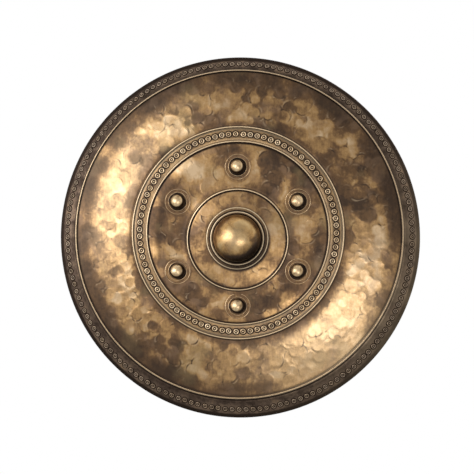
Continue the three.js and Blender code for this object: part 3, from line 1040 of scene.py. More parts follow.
    def calm(self, across: Array, up: Array) -> Array:
        """How much of the hammer work shows: none on the seats of the bosses, the beads and the band.

        Args:
            across: X of each place.
            up: Z of each place before the raise.

        Returns:
            A share from 0 to 1 for each place.
        """
        radius = np.hypot(across, up) + 0.004 * self.quick_wave(across, up)
        zones = (
            (self.collar_seat, self.ring_bead, 0.005, 0.005),
            (self.ring_bead, self.band_inner, 0.006, 0.006),
            (self.band_outer, self.rim_bead, 0.009, 0.016),
        )
        amount = np.zeros_like(radius)
        for start, end, inner, outer in zones:
            rise = smooth_step(start + inner * 0.4, start + inner * 1.6, radius)
            fall = 1 - smooth_step(end - outer * 1.6, end - outer * 0.5, radius)
            amount = np.maximum(amount, rise * fall)
        for x, z in self.bosses:
            amount = amount * smooth_step(0.0225, 0.030, np.hypot(across - x, up - z))
        return amount

    def hammering(self, radius: Array, angle: Array) -> tuple[Array, Array, Array]:
        """The blows' relief, each laid over those before it.

        Args:
            radius: The radii of the grid's rows.
            angle: The angles of its columns.

        Returns:
            The height that the blows add, the tone of each place, and the painted shade and highlight along
            the blows' edges.
        """
        across = radius[:, None] * np.cos(angle)
        up = radius[:, None] * np.sin(angle)
        surface = np.zeros(across.shape)
        tone = self.clouds(across, up)
        lip_shading = np.zeros(across.shape)
        step = TURN / len(angle)
        for x, z, size, depth, tilt_x, tilt_z, own_tone, side, plainness, strength in self.blows:
            reach = math.hypot(x, z)
            rows = np.nonzero(np.abs(radius - reach) < size)[0]
            if len(rows) == 0:
                continue
            half = int(size / reach / step) + 1
            middle = int(round((math.atan2(z, x) % TURN) / step))
            columns = np.arange(middle - half, middle + half + 1) % len(angle)
            window = np.ix_(rows, columns)
            dx, dz = across[window] - x, up[window] - z
            away = np.hypot(dx, dz)
            facing = np.clip(np.cos(np.arctan2(dz, dx) - side) * 1.5 - 0.5, 0, 1)
            cover = 1 - smooth_step(size * (0.42 + 0.45 * facing), size, away)
            height = tilt_x * dx + tilt_z * dz + strength * away**2 / 0.40 - depth
            surface[window] += (height - surface[window]) * cover
            tone[window] += (own_tone - tone[window]) * cover * (0.45 + 0.45 * strength)
            # Painted shade in a thin line along part of the blow's edge, with a painted highlight just
            # outside it.
            lip = (away - size * 0.94) / 0.0013
            crescent = (bell(lip, 1.0) - 0.6 * bell(lip - 1.9, 1.0)) * facing * plainness
            lip_shading[window] = lip_shading[window] * (1 - cover) + crescent
        amount = self.calm(across, up)
        return surface * amount, tone, lip_shading * amount

    def waves(self, across: Array, up: Array) -> Array:
        """Slow unevenness of a sheet that was raised by hand, still near the seats of the bosses.

        Args:
            across: X of each place.
            up: Z of each place before the raise.

        Returns:
            The height that it adds.
        """
        radius = np.hypot(across, up)
        amount = 0.00018 + 0.00022 * smooth_step(self.band_outer, self.band_outer + 0.02, radius)
        amount *= 1 - smooth_step(self.rim_bead - 0.012, self.rim_bead - 0.002, radius)
        amount *= smooth_step(self.collar_seat, self.collar_seat + 0.012, radius)
        for x, z in self.bosses:
            amount = amount * smooth_step(0.021, 0.032, np.hypot(across - x, up - z))
        return amount * (self.slow_wave(across, up) + 0.35 * self.quick_wave(across, up))

    def rim_dent(self, across: Array, up: Array) -> Array:
        """Unevenness of the flange between the rim bead and the rolled edge.

        Args:
            across: X of each place.
            up: Z of each place before the raise.

        Returns:
            The height that it adds.
        """
        radius = np.hypot(across, up)
        dent = 0.00012 * self.dent_wave(across, up) + 0.00003 * self.fine_dent_wave(across, up)
        dent = dent * smooth_step(self.rim_bead, self.rim_bead + 0.004, radius)
        return dent * (1 - smooth_step(self.edge - 0.006, self.edge - 0.003, radius))

    def front_point(self, radius: float, angle: float) -> tuple[Array, Array]:
        """A point on the sheet's front, and the way that it faces.

        Args:
            radius: Its radius before the raise.
            angle: Its angle from +X, towards +Z.

        Returns:
            The place and the unit normal.
        """
        step = 0.0008

        def place(at: float, turn: float) -> Array:
            """The place of the sheet's middle at one radius and angle."""
            across, up = np.array([at * math.cos(turn)]), np.array([at * math.sin(turn)])
            height = self.base_height(np.array([at])) + self.waves(across, up) + self.rim_dent(across, up)
            return np.concatenate([across, -height, up + self.raise_at(np.array([at]))])

        here = place(radius, angle)
        outward = place(radius + step, angle) - place(radius - step, angle)
        around = place(radius, angle + step / radius) - place(radius, angle - step / radius)
        normal = np.cross(outward, around)
        normal /= np.linalg.norm(normal) * (1 if normal[1] < 0 else -1)
        way = normal if radius > self.rim_bead else np.array([0.0, -1.0, 0.0])
        return here + way * self.thickness / 2, normal


@dataclass
class ShieldPlate:
    """The dished sheet, made in zones that meet on the crests of its beads, with its rolled rim and wire."""

    form: PlateForm
    finishes: Finishes

    def build(self) -> None:
        """Builds the zones and the rim's wire."""
        form = self.form
        self._zone("plate_middle", form.bore, form.ring_bead, 0.0016, 540)
        self._zone("plate_boss_zone", form.ring_bead, form.band_inner, 0.0012, 900)
        self._zone("plate_band", form.band_inner, form.band_outer, 0.0012, 900)
        self._zone("plate_field", form.band_outer, form.rim_bead, 0.0017, 1120)
        self._rim()
        self._wire()

    def _stations(self, start: float, end: float, step: float) -> Array:
        """Radii of a zone's rows, closer together on the beads.

        Args:
            start: The first radius.
            end: The last radius.
            step: How far apart they are off the beads.

        Returns:
            The radii.
        """
        trial = np.linspace(start, end, 4000)
        density = np.full_like(trial, 1 / step)
        for bead in self.form.beads_at:
            density += (1 / 0.0004 - 1 / step) * bell(trial - bead, 0.0032, 4)
        total = np.concatenate([[0], np.cumsum((density[1:] + density[:-1]) / 2 * np.diff(trial))])
        count = int(math.ceil(total[-1])) + 1
        return np.interp(np.linspace(0, total[-1], count), total, trial)

    def _surface(self, radius: Array, sides: int, face: float) -> Surface:
        """One face of a zone.

        Args:
            radius: The radii of its rows.
            sides: How many columns it has.
            face: 1 for the front, -1 for the back.

        Returns:
            Its points by row and column, and its tone, its darkening by soiling and painted shade, and its
            brightening by wear and painted highlights.
        """
        form = self.form
        angle = even_turns(sides)
        across, up = radius[:, None] * np.cos(angle), radius[:, None] * np.sin(angle)
        blows, tone, lip_shading = form.hammering(radius, angle)
        height = form.base_height(radius)[:, None] + blows + form.waves(across, up)
        height = height + face * form.thickness / 2
        points = np.stack([across, -height, up + form.raise_at(radius)[:, None]], -1)
        if face < 0:
            return points, {"tone": 0.55 * tone, "grime_and_shade": 0 * tone + 0.2, "rubbing_and_highlight": 0 * tone}
        return points, self._wear(across, up, tone, lip_shading)

    def _wear(self, across: Array, up: Array, tone: Array, lip_shading: Array) -> dict[str, Array]:
        """Where the patina is light or dark, where soiling and painted shade darken it, and where wear and
        painted highlights brighten it.

        Args:
            across: X of each place.
            up: Z of each place before the raise.
            tone: The tone that the blows give.
            lip_shading: Painted shade and highlight along the blows' edges.

        Returns:
            Tone, darkening by soiling and painted shade, and brightening by wear and painted highlights, of
            each place, from 0 to 1.
        """
        form = self.form
        radius = np.hypot(across, up)
        below = np.clip(-up / np.maximum(radius, 1e-6), 0, 1)
        # Painted shade and highlight along the blows' edges open the lists of darkening and brightening.
        dark_parts, light_parts = [0.72 * np.clip(lip_shading, 0, 1)], [0.6 * np.clip(-lip_shading, 0, 1)]
        # Dark lines in the grooves beside each bead, with painted shade on the bead's lower side: the outer
        # line darker towards the bottom, the inner one lighter there.
        for bead in form.beads_at:
            away = radius - bead
            dark_parts.append(bell(away + 0.0024, 0.0015, 4) * (1.0 - 0.35 * below))
            dark_parts.append(bell(away - 0.0026, 0.0010) * (0.12 + 0.60 * below))
            dark_parts.append(0.35 * bell(away, 0.0050))
            light_parts.append(1 - smooth_step(0.0003, 0.0010, np.abs(away - 0.0002)))
        uneven = 0.8 + 0.4 * Undulation(31, 0.028)(across, up)
        left, low_right = (form.glare_lobe(middle, across, up) for middle, _gain in form.glare_sides)
        # Darker band inside the rim bead, wider on the left and nearly gone at the lower right where glare
        # is painted; a darker band beside the band, stronger at the lower right and weaker on the left.
        margin = smooth_step(form.rim_bead - 0.036 - 0.010 * left, form.rim_bead - 0.014, radius)
        margin = margin * (1 - 0.92 * low_right) * (radius < form.rim_bead)
        inner_end = form.band_outer + 0.015 + 0.010 * low_right
        inner = smooth_step(inner_end, form.band_outer + 0.005, radius) * (radius > form.band_outer)
        margin = margin + (0.6 - 0.5 * left + 0.2 * low_right) * inner
        tone = tone * (1 - np.clip(0.85 * margin * uneven, 0, 0.95))
        dark_parts.append(0.30 * margin * uneven)
        shoulder = smooth_step(form.ring_bead + 0.016, form.ring_bead + 0.004, radius)
        shoulder = shoulder * (radius > form.ring_bead)
        tone = tone * (1 - 0.40 * shoulder * uneven)
        dark_parts.append(0.18 * shoulder)
        # Painted glare: the field is brightened on the left and at the lower right.
        in_field = smooth_step(form.band_outer, form.band_outer + 0.02, radius) * (radius < form.rim_bead)
        bright = in_field * (1 - 0.8 * np.clip(margin, 0, 1)) * np.maximum(left, low_right)
        light_parts.append(bright * (0.17 + 0.30 * np.clip(tone - 0.3, 0, 1)))
        band = (radius > form.band_inner) & (radius < form.band_outer)
        tone = np.where(band, 0.47 + 0.12 * form.quick_wave(across, up), tone)
        strip = bell(radius - (form.band_inner + form.band_outer) / 2, 0.0068, 6)
        dark_parts.append(np.maximum(0.10, 0.42 * strip) * band)
        light_parts.append(0.22 * band * (1 - strip))
        for x, z in form.bosses:
            away = np.hypot(across - x, up - z)
            tone = tone + (0.34 - tone) * (1 - smooth_step(0.018, 0.027, away))
            # Painted shade round each boss's foot, reaching a little further below it.
            dark_parts.append(1 - smooth_step(0.0132, 0.0150, np.hypot(across - x, up - z + 0.0006)))
            dark_parts += [0.30 * bell(away - groove, 0.0009) for groove in (0.0169, 0.0221)]
        # Painted shadow on the plate round the umbo collar's foot, darkest at the lower right.
        low_side = np.clip((0.45 * across - up) / np.maximum(radius, 1e-6), 0, 1)
        dark_parts.append(bell(radius - 0.0515, 0.0038) * (0.30 + 0.70 * low_side))
        grime_and_shade, rubbing_and_highlight = np.maximum.reduce(dark_parts), np.maximum.reduce(light_parts)
        return {"tone": tone, "grime_and_shade": np.clip(grime_and_shade, 0, 1), "rubbing_and_highlight": np.clip(rubbing_and_highlight * 0.9, 0, 1)}

    def _shell(self, name: str, front: Surface, back: Surface) -> Piece:
        """Joins a front and a back of half as many columns into one closed sheet.

        Args:
            name: The piece's name.
            front: The front's points and values.
            back: The back's points and values.

        Returns:
            The piece.
        """
        rows, columns = front[0].shape[:2]
        back_rows, back_columns = back[0].shape[:2]
        start = rows * columns
        points = np.concatenate([front[0].reshape(-1, 3), back[0].reshape(-1, 3)])
        back_quads = grid_quads(back_rows, back_columns, start)[:, ::-1]
        half = np.arange(back_columns)
        even, odd, following = 2 * half, 2 * half + 1, (2 * half + 2) % columns
        behind, behind_next = start + half, start + (half + 1) % back_columns
        walls = []
        for shift, back_shift, way in ((0, 0, 1), (start - columns, (back_rows - 1) * back_columns, -1)):
            first, second, third = even + shift, odd + shift, following + shift
            near, far = behind + back_shift, behind_next + back_shift
            for corners in ((first, near, second), (second, near, far), (second, far, third)):
                walls.append(np.stack(corners, -1)[:, ::way])
        quads = np.concatenate([grid_quads(rows, columns), back_quads])
        made = make_object(name, points, quads, np.concatenate(walls))
        for value in front[1]:
            add_values(made, value, np.concatenate([front[1][value].ravel(), back[1][value].ravel()]))
        return made

    def _zone(self, name: str, start: float, end: float, step: float, sides: int) -> None:
        """One ring of the sheet.

        Args:
            name: The piece's name.
            start: Its inner radius.
            end: Its outer radius.
            step: How far apart the rows of its front are.
            sides: How many columns its front has.
        """
        front = self._surface(self._stations(start, end, step), sides, 1.0)
        back = self._surface(self._stations(start, end, 2.5 * step), sides // 2, -1.0)
        dress(self._shell(name, front, back), self.finishes.plate, Slot.PLATE, "shield_plate")

    def _rim(self) -> None:
        """The flange outside the rim bead, and the edge that is rolled back round its wire."""
        form = self.form
        radius = self._stations(form.rim_bead, form.roll_start[0], 0.0011)
        line = np.stack([radius, form.base_height(radius)], -1)
        turns = np.radians(np.linspace(*form.roll_turns, 30)[1:])
        middle = np.concatenate([line, form.round_wire(turns, form.roll_radius)])
        run = unit_rows(np.gradient(middle, axis=0))
        normal = np.stack([-run[:, 1], run[:, 0]], -1)
        every = np.arange(len(middle))
        faces = []
        for face, sides, chosen in ((1.0, 1200, every), (-1.0, 600, np.union1d(every[::2], every[-1:]))):
            reach, height = np.split((middle + face * normal * form.thickness / 2)[chosen], 2, 1)
            angle = even_turns(sides)
            across, up = reach * np.cos(angle), reach * np.sin(angle)
            lift = form.raise_at(np.minimum(reach, form.edge)) * np.ones_like(across)
            points = np.stack([across, -height - form.rim_dent(across, up), up + lift], -1)
            below = np.clip(-up / reach, 0, 1)
            away = (reach - form.rim_bead) * np.ones_like(across)
            # Dark line in the groove outside the rim bead, darker towards the bottom as painted shade; also
            # darker towards the rolled edge and in a band outside the bead.
            grime_and_shade = bell(away - 0.0027, 0.0011) * (0.45 + 0.55 * below)
            grime_and_shade = np.maximum(grime_and_shade, 0.7 * smooth_step(form.edge - 0.009, form.edge - 0.004, reach))
            grime_and_shade = np.maximum(grime_and_shade, 0.38 * bell(away - 0.005, 0.006))
            rubbing_and_highlight = (1 - smooth_step(0.0005, 0.0014, away)) * 0.9
            # Painted highlight on the rim's right side, a little below the middle.
            rim_highlight = form.glare_lobe(form.rim_highlight_side, across, up) * (0.1 + 0.05 * Undulation(29, 0.02)(across, up))
            faces.append((points, {"grime_and_shade": grime_and_shade, "rubbing_and_highlight": np.maximum(rubbing_and_highlight, rim_highlight) * (face > 0)}))
        dress(self._shell("plate_rim", *faces), self.finishes.rim, Slot.PLATE, "shield_plate")

    def _wire(self) -> None:
        """The wire inside the rolled edge."""
        form = self.form
        profile = form.round_wire(even_turns(16), form.roll_radius - form.thickness / 2 - 0.0003)
        dress(lathe("rim_wire_round", profile, (0, 0, 0), 360), self.finishes.steel, Slot.CORE, "rim_wire")


# A struck circlet's section: the share of its reach, the height in metres and how dirty it is
CIRCLET_SECTION_SHARES = (
    (0.0, 0.0007, 0.0), (0.14, 0.0006, 0.05), (0.21, 0.00024, 0.6), (0.26, 0.00012, 1.0),
    (0.38, 0.00012, 1.0), (0.44, 0.0004, 0.4), (0.49, 0.00072, 0.0), (0.61, 0.0008, 0.0),
    (0.69, 0.00054, 0.2), (0.74, 0.00016, 0.9), (0.8, 0.0001, 1.0), (0.975, 0.00008, 1.0),
    (1.0, -0.00035, 1.0),
)


@dataclass
class Circlets:
    """A row of struck circlets: a raised ring with a dot in it, each set on the sheet by hand."""

    name: str
    radius: float
    count: int
    size: float
    seed: int
    sides: int = 26

    def build(self, form: PlateForm, material: Material) -> None:
        """Builds the whole row as one piece.

        Args:
            form: The plate that it is struck on.
            material: Its finish.
        """
        draw = np.random.default_rng(self.seed)
        dark_parts = [row[2] for row in CIRCLET_SECTION_SHARES]
        dark_parts = np.concatenate([np.repeat(dark_parts[1:], self.sides), [dark_parts[0], 1.0]])
        parts, worn_and_highlight = [], []
        for index in range(self.count):
            angle = (index + draw.uniform(-0.06, 0.06)) * TURN / self.count
            radius = self.radius + draw.uniform(-0.0004, 0.0004)
            size = self.size * draw.uniform(0.94, 1.03)
            parts.append(self._circlet(form, radius, angle, size, draw))
            worn_and_highlight.append(np.clip(1 - 2.2 * dark_parts, 0, 1) * draw.uniform(0.45, 1.0))
        made = make_object(self.name, *join_parts(parts))
        add_values(made, "grime_and_shade", np.tile(dark_parts, self.count))
        add_values(made, "rubbing_and_highlight", 0.68 * np.concatenate(worn_and_highlight))
        dress(made, material, Slot.PLATE)

    def _circlet(
        self, form: PlateForm, radius: float, angle: float, size: float, draw: np.random.Generator
    ) -> MeshParts:
        """One circlet's points and faces.

        Args:
            form: The plate.
            radius: Its middle's radius.
            angle: Its middle's angle.
            size: Its outer radius.
            draw: Where the hand's unevenness comes from.

        Returns:
            Points, four-sided faces and three-sided faces.
        """
        here, normal = form.front_point(radius, angle)
        out = np.array([math.cos(angle), 0.0, math.sin(angle)])
        out -= normal * (out @ normal)
        out /= np.linalg.norm(out)
        around = np.cross(normal, out)
        turn = even_turns(self.sides)
        spot = out * np.cos(turn)[:, None] + around * np.sin(turn)[:, None]
        shift = draw.uniform(-0.05, 0.05, 2) * size
        slip = out * shift[0] + around * shift[1]
        struck = 1 + 0.35 * draw.uniform(-1, 1) * np.cos(turn - draw.uniform(0, TURN))
        rows = []
        for share, height, _dirt in CIRCLET_SECTION_SHARES[1:]:
            lift = height * struck if height > 0.0002 else np.full(self.sides, height)
            rows.append(here + slip * (1 - share) + spot * size * share + normal * lift[:, None])
        tips = np.array([here + slip + normal * CIRCLET_SECTION_SHARES[0][1], here - normal * 0.0005])
        return close_rows(np.concatenate(rows), len(rows), self.sides, tips)


@dataclass
class Umbo:
    """The domed umbo on its stepped collar, with the steel parts that clamp it."""

    finishes: Finishes
    collar_radius: float = 0.0515
    collar_height: float = 0.0042
    upper_radius: float = 0.0446
    upper_height: float = 0.0086
    dome_radius: float = 0.040
    dome_rise: float = 0.0326
    dome_wall: float = 0.0018
    dome_base: float = 0.0033
    ledge_width: float = 0.006
    ledge_height: float = 0.003

    def build(self) -> None:
        """Builds the dome and the collar, and dresses the steel solids behind them."""
        x, _front, z = front_of("umbo_collar")
        self.centre = (x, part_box("umbo_collar")[1].y, z)
        self._collar()
        self._dome()
        for node in ("umbo_stud", "umbo_washer", "umbo_nut"):
            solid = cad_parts[node]
            solid.data.materials.clear()
            solid.data.materials.append(self.finishes.steel)
            bevel = solid.modifiers.new("soft_edges", "BEVEL")
            bevel.width, bevel.segments = 0.0004, 2
            bevel.limit_method, bevel.angle_limit = "ANGLE", math.radians(40)

    def _measure(self, made: Piece) -> tuple[Array, Array, Array]:
        """Measures a piece about the umbo's middle line.

        Args:
            made: The piece.

        Returns:
            Radius and height of each corner, and how far it looks down or right.
        """
        places = read_places(made) - np.array(self.centre)
        radius = np.hypot(places[:, 0], places[:, 2])
        low_side = np.clip((0.45 * places[:, 0] - places[:, 2]) / np.maximum(radius, 1e-6), 0, 1)
        return radius, -places[:, 1], low_side

    def _collar(self) -> None:
        """The stepped ring that the dome stands in."""
        inner = self.dome_radius - self.ledge_width
        outer, upper, dome = self.collar_radius, self.upper_radius, self.dome_radius
        low, high, ledge = self.collar_height, self.upper_height, self.ledge_height
        path = [
            (inner, 0.0), (outer, 0.0), (outer, low), (upper + 0.0012, low), (upper, low + 0.0008),
            (upper, high), (dome + 0.0005, high), (dome + 0.0003, ledge), (inner, ledge), (inner, 0.0),
        ]
        rounding = [0.0004, 0.0010, 0.0008, 0.0008, 0.0012, 0.0006, 0.0002, 0.0002]
        profile = resample(round_corners(path, rounding, 5)[:-1], 0.0005, closed=True)
        uneven = Undulation(41, 0.9)
        made = lathe(
            "umbo_collar_ring", profile, self.centre, 180,
            lambda turn, rise: 0.0002 * uneven(np.cos(turn) * 2 + 0 * rise, np.sin(turn) * 2 + 30 * rise),
        )
        radius, height, low_side = self._measure(made)
        # Darker in the corners at the step's foot, at the dome and at the plate, over an even dark patina,
        # with painted shade on the lower-right side.
        step_foot = bell(radius - upper - 0.0010, 0.0020) * (height < high - 0.001)
        grime_and_shade = np.maximum(step_foot, bell(radius - dome, 0.0016))
        grime_and_shade = np.maximum(grime_and_shade, 1 - smooth_step(0.0, 0.0020, height))
        grime_and_shade = np.maximum(grime_and_shade, 0.42 + 0.52 * low_side)
        # Bright lines of wear on the two step edges, with painted highlight making them brightest away from
        # the lower right.
        edges = ((outer - 0.0007, low), (upper - 0.0009, high))
        rubbing_and_highlight = sum(bell(np.hypot(radius - r, height - h), 0.0007) for r, h in edges)
        add_values(made, "grime_and_shade", np.clip(grime_and_shade, 0, 1))
        add_values(made, "rubbing_and_highlight", np.clip(rubbing_and_highlight * (0.95 - 0.35 * low_side), 0, 1))
        dress(made, self.finishes.collar, Slot.PLATE, "umbo_collar")

    def _dome(self) -> None:
        """The hollow dome, a little uneven as raised by hand."""
        turns = np.linspace(0, math.pi / 2, 37)
        faces = []
        for inset in (0.0, self.dome_wall):
            radius, rise = self.dome_radius - inset, self.dome_rise - inset
            arc = np.stack([radius * np.cos(turns), self.upper_height + rise * np.sin(turns)], -1)
            arc[-1, 0] = 0.0
            faces.append(np.concatenate([[(radius, self.dome_base)], arc]))
        uneven = Undulation(43, 0.6)
        made = lathe(
            "umbo_dome_shell", np.concatenate([faces[0][::-1], faces[1]]), self.centre, 144,
            lambda turn, rise: 0.0003 * uneven(np.cos(turn) + 0 * rise, np.sin(turn) + 26 * rise) - 0.0003,
        )
        radius, _height, low_side = self._measure(made)
        # Painted shade: darker towards the dome's edge, most on the lower-right side.
        share = radius / self.dome_radius
        grime_and_shade = smooth_step(0.72, 1.0, share) * (0.22 + 0.78 * low_side)
        grime_and_shade = np.maximum(grime_and_shade, low_side * smooth_step(0.52, 0.88, share))
        add_values(made, "grime_and_shade", np.clip(grime_and_shade, 0, 1))
        add_values(made, "rubbing_and_highlight", 0.26 * smooth_step(0.030, 0.006, radius))
        dress(made, self.finishes.dome, Slot.BOSS, "umbo_dome")


@dataclass
class BossRivets:
    """The six round-headed rivets, each with chased rings round its seat."""

    form: PlateForm
    finishes: Finishes
    ball_radius: float = 0.0127
    ball_height: float = 0.0025
    shank_radius: float = 0.003
    peen_radius: float = 0.0056
    peen_height: float = 0.0022
    chased_radii: tuple[float, ...] = (0.0152, 0.0205)
    chased_width: float = 0.0012
    chased_rise: float = 0.00038
    chased_foot: float = -0.0004

    def build(self) -> None:
        """Builds the rivets and their chased rings."""
        seat = -(self.form.boss_seat_height + self.form.thickness / 2)
        for node in RIVET_NODES:
            x, _front, z = front_of(node)
            side = node.removeprefix("boss_rivet_")
            self._rivet(node, f"boss_{side}", (x, seat, z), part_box(node)[1].y - seat)
            for number, radius in enumerate(self.chased_radii, 1):
                self._chased(f"chased_ring_{side}_{number}", (x, seat, z), radius)

    def _rivet(self, node: str, name: str, centre: Place, tail: float) -> None:
        """One rivet: its round head, its shank and its peened tail.

        Args:
            node: The solid that it stands for.
            name: The piece's name.
            centre: The middle of its seat.
            tail: How far the rivet reaches behind the seat.
        """
        ball, rise = self.ball_radius, self.ball_height
        turns = np.linspace(math.pi / 2, -math.asin((rise - SEAT_GAP) / ball), 29)
        head = np.stack([ball * np.cos(turns), rise + ball * np.sin(turns)], -1)
        peen_top = self.peen_height - tail
        shank = [(self.shank_radius, SEAT_GAP), (self.shank_radius, peen_top)]
        turns = np.linspace(0, math.pi / 2, 9)
        heights = peen_top - SEAT_GAP - (self.peen_height - SEAT_GAP) * np.sin(turns)
        profile = np.concatenate([head, shank, np.stack([self.peen_radius * np.cos(turns), heights], -1)])
        profile[[0, -1], 0] = 0.0
        made = lathe(name, profile, centre, 56)
        places = read_places(made) - np.array(centre)
        # Painted shade on the ball's lower-right side and a painted highlight towards its upper left.
        reach = np.hypot(places[:, 0] + 0.07 * ball, places[:, 2] - 0.12 * ball) / ball
        front = places[:, 1] < 0.0005
        add_values(made, "grime_and_shade", 0.92 * smooth_step(0.64, 0.89, reach) * front)
        add_values(made, "rubbing_and_highlight", 0.35 * smooth_step(0.6, 0.1, reach) * front)
        dress(made, self.finishes.boss, Slot.BOSS, node)

    def _chased(self, name: str, centre: Place, radius: float) -> None:
        """One thin chased ring on the seat.

        Args:
            name: The piece's name.
            centre: The middle of the rivet's seat.
            radius: The ring's radius.
        """
        half = self.chased_width / 2
        turns = np.linspace(math.pi, 0, 7)
        crest = np.stack([radius + half * np.cos(turns), self.chased_rise * np.sin(turns)], -1)
        profile = [(radius - half, self.chased_foot), *crest, (radius + half, self.chased_foot)]
        made = lathe(name, profile, centre, 72)
        add_values(made, "rubbing_and_highlight", np.full(len(made.data.vertices), 0.22))
        dress(made, self.finishes.circlets, Slot.PLATE)


# The back


@dataclass
class ArmStrap:
    """The leather strap for the forearm, with its stitches and the roves that its rivets are peened over."""

    finishes: Finishes
    thickness: float = 0.0038
    inset: float = 0.0165
    root_radius: float = 0.005
    crown_height: float = 0.0718
    tab_reach: float = 0.011
    rove_radius: float = 0.0085
    rove_thickness: float = 0.0016
    stitch_pitch: float = 0.0046
    seam_inset: float = 0.0042
    step: float = 0.0012
    unsewn_steps: int = 22
    points_across: int = 33

    def build(self) -> None:
        """Builds the strap, its stitches and its roves."""
        low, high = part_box("arm_strap")
        self.width = high.x - low.x
        path = resample(self._path(), self.step)
        strap = sweep("arm_strap_leather", path, lambda share: self._section(share, len(path)), (1, 0, 0))
        dress(strap, self.finishes.strap, Slot.STRAP, "arm_strap")
        self._stitches(path)
        self._rove("strap_rove_left_upper")
        self._rove("strap_rove_left_lower")

    def _path(self) -> Array:
        """The strap's middle line, from one tab over the arch to the other.

        Returns:
            Its points, one row each.
        """
        tab_span = front_of("boss_rivet_left_upper")[2] - front_of("boss_rivet_left_lower")[2]
        half_thick, root = self.thickness / 2, self.root_radius
        leg = (tab_span - 2 * self.inset) / 2 + half_thick
        arch_centre = self.crown_height - half_thick - leg
        half = [(tab_span / 2 + self.tab_reach, half_thick)]
        for turn in np.linspace(0, math.pi / 2, 9):
            half.append((leg + root * (1 - math.sin(turn)), half_thick + root * (1 - math.cos(turn))))
        for turn in np.linspace(0, math.pi / 2, 25):
            half.append((leg * math.cos(turn), arch_centre + leg * math.sin(turn)))
        whole = half + [(-along, out) for along, out in half[-2::-1]]
        return place_flat(np.array(whole), front_of("arm_strap"), Lie.FACING_SIDE)

    def _section(self, share: float, count: int) -> Array:
        """The strap's section: round edges and a creased line along each, narrowed at the ends of the tabs.

        Args:
            share: The share of the path.
            count: How many points the path has.

        Returns:
            The section's points, through and across the strap.
        """
        from_end = min(share, 1 - share) * (count - 1) * self.step
        narrow = math.sqrt(max(1 - (1 - min(from_end / self.tab_reach, 1.0)) ** 2, 0.0004))
        half_width = self.width / 2 * (0.3 + 0.7 * narrow)
        half_thick = self.thickness / 2 * (0.55 + 0.45 * min(from_end / 0.002, 1.0))
        across = np.linspace(-1, 1, self.points_across)
        place = np.concatenate([across, -across]) * half_width
        side = np.repeat([1.0, -1.0], self.points_across)
        edge = half_width - np.abs(place)
        rounding = np.sqrt(np.clip(1 - (1 - np.clip(edge / 0.0022, 0, 1)) ** 2, 0.0, 1))
        crease = 0.00030 * bell(edge - self.seam_inset, 0.0007)
        return np.stack([(half_thick * (0.25 + 0.75 * rounding) - crease) * side, place], -1)

    def _stitches(self, path: Array) -> None:
        """Stitches along both edges of the strap's two faces, between the tabs.

        Args:
            path: The strap's middle line.
        """
        run = unit_rows(np.gradient(path, axis=0))
        out = np.cross(np.array([1.0, 0.0, 0.0]), run) * (self.thickness / 2 - 0.0001)
        unsewn = self.unsewn_steps
        chosen = np.arange(unsewn, len(path) - unsewn, round(self.stitch_pitch / self.step))
        shift = np.array([self.width / 2 - self.seam_inset, 0.0, 0.0])
        rows = ((-1.0, -1.0), (-1.0, 1.0), (1.0, -1.0), (1.0, 1.0))
        places = [path[chosen] + out[chosen] * face + shift * side for side, face in rows]
        made = stitch_row("arm_strap_stitches", np.concatenate(places), np.tile(run[chosen], (4, 1)))
        dress(made, self.finishes.thread, Slot.STRAP)

    def _rove(self, node: str) -> None:
        """The round brass washer under one peened tail.

        Args:
            node: The solid that it stands for.
        """
        wide, thick = self.rove_radius, self.rove_thickness
        path = [
            (RIVET_HOLE, 0.0), (wide, 0.0), (wide, -thick / 2),
            (0.0060, -thick), (RIVET_HOLE, -thick), (RIVET_HOLE, 0.0),
        ]
        made = lathe(node.removeprefix("strap_"), round_corners(path, 0.0004, 3)[:-1], front_of(node), 48)
        dress(made, self.finishes.brass, Slot.FITTING, node)


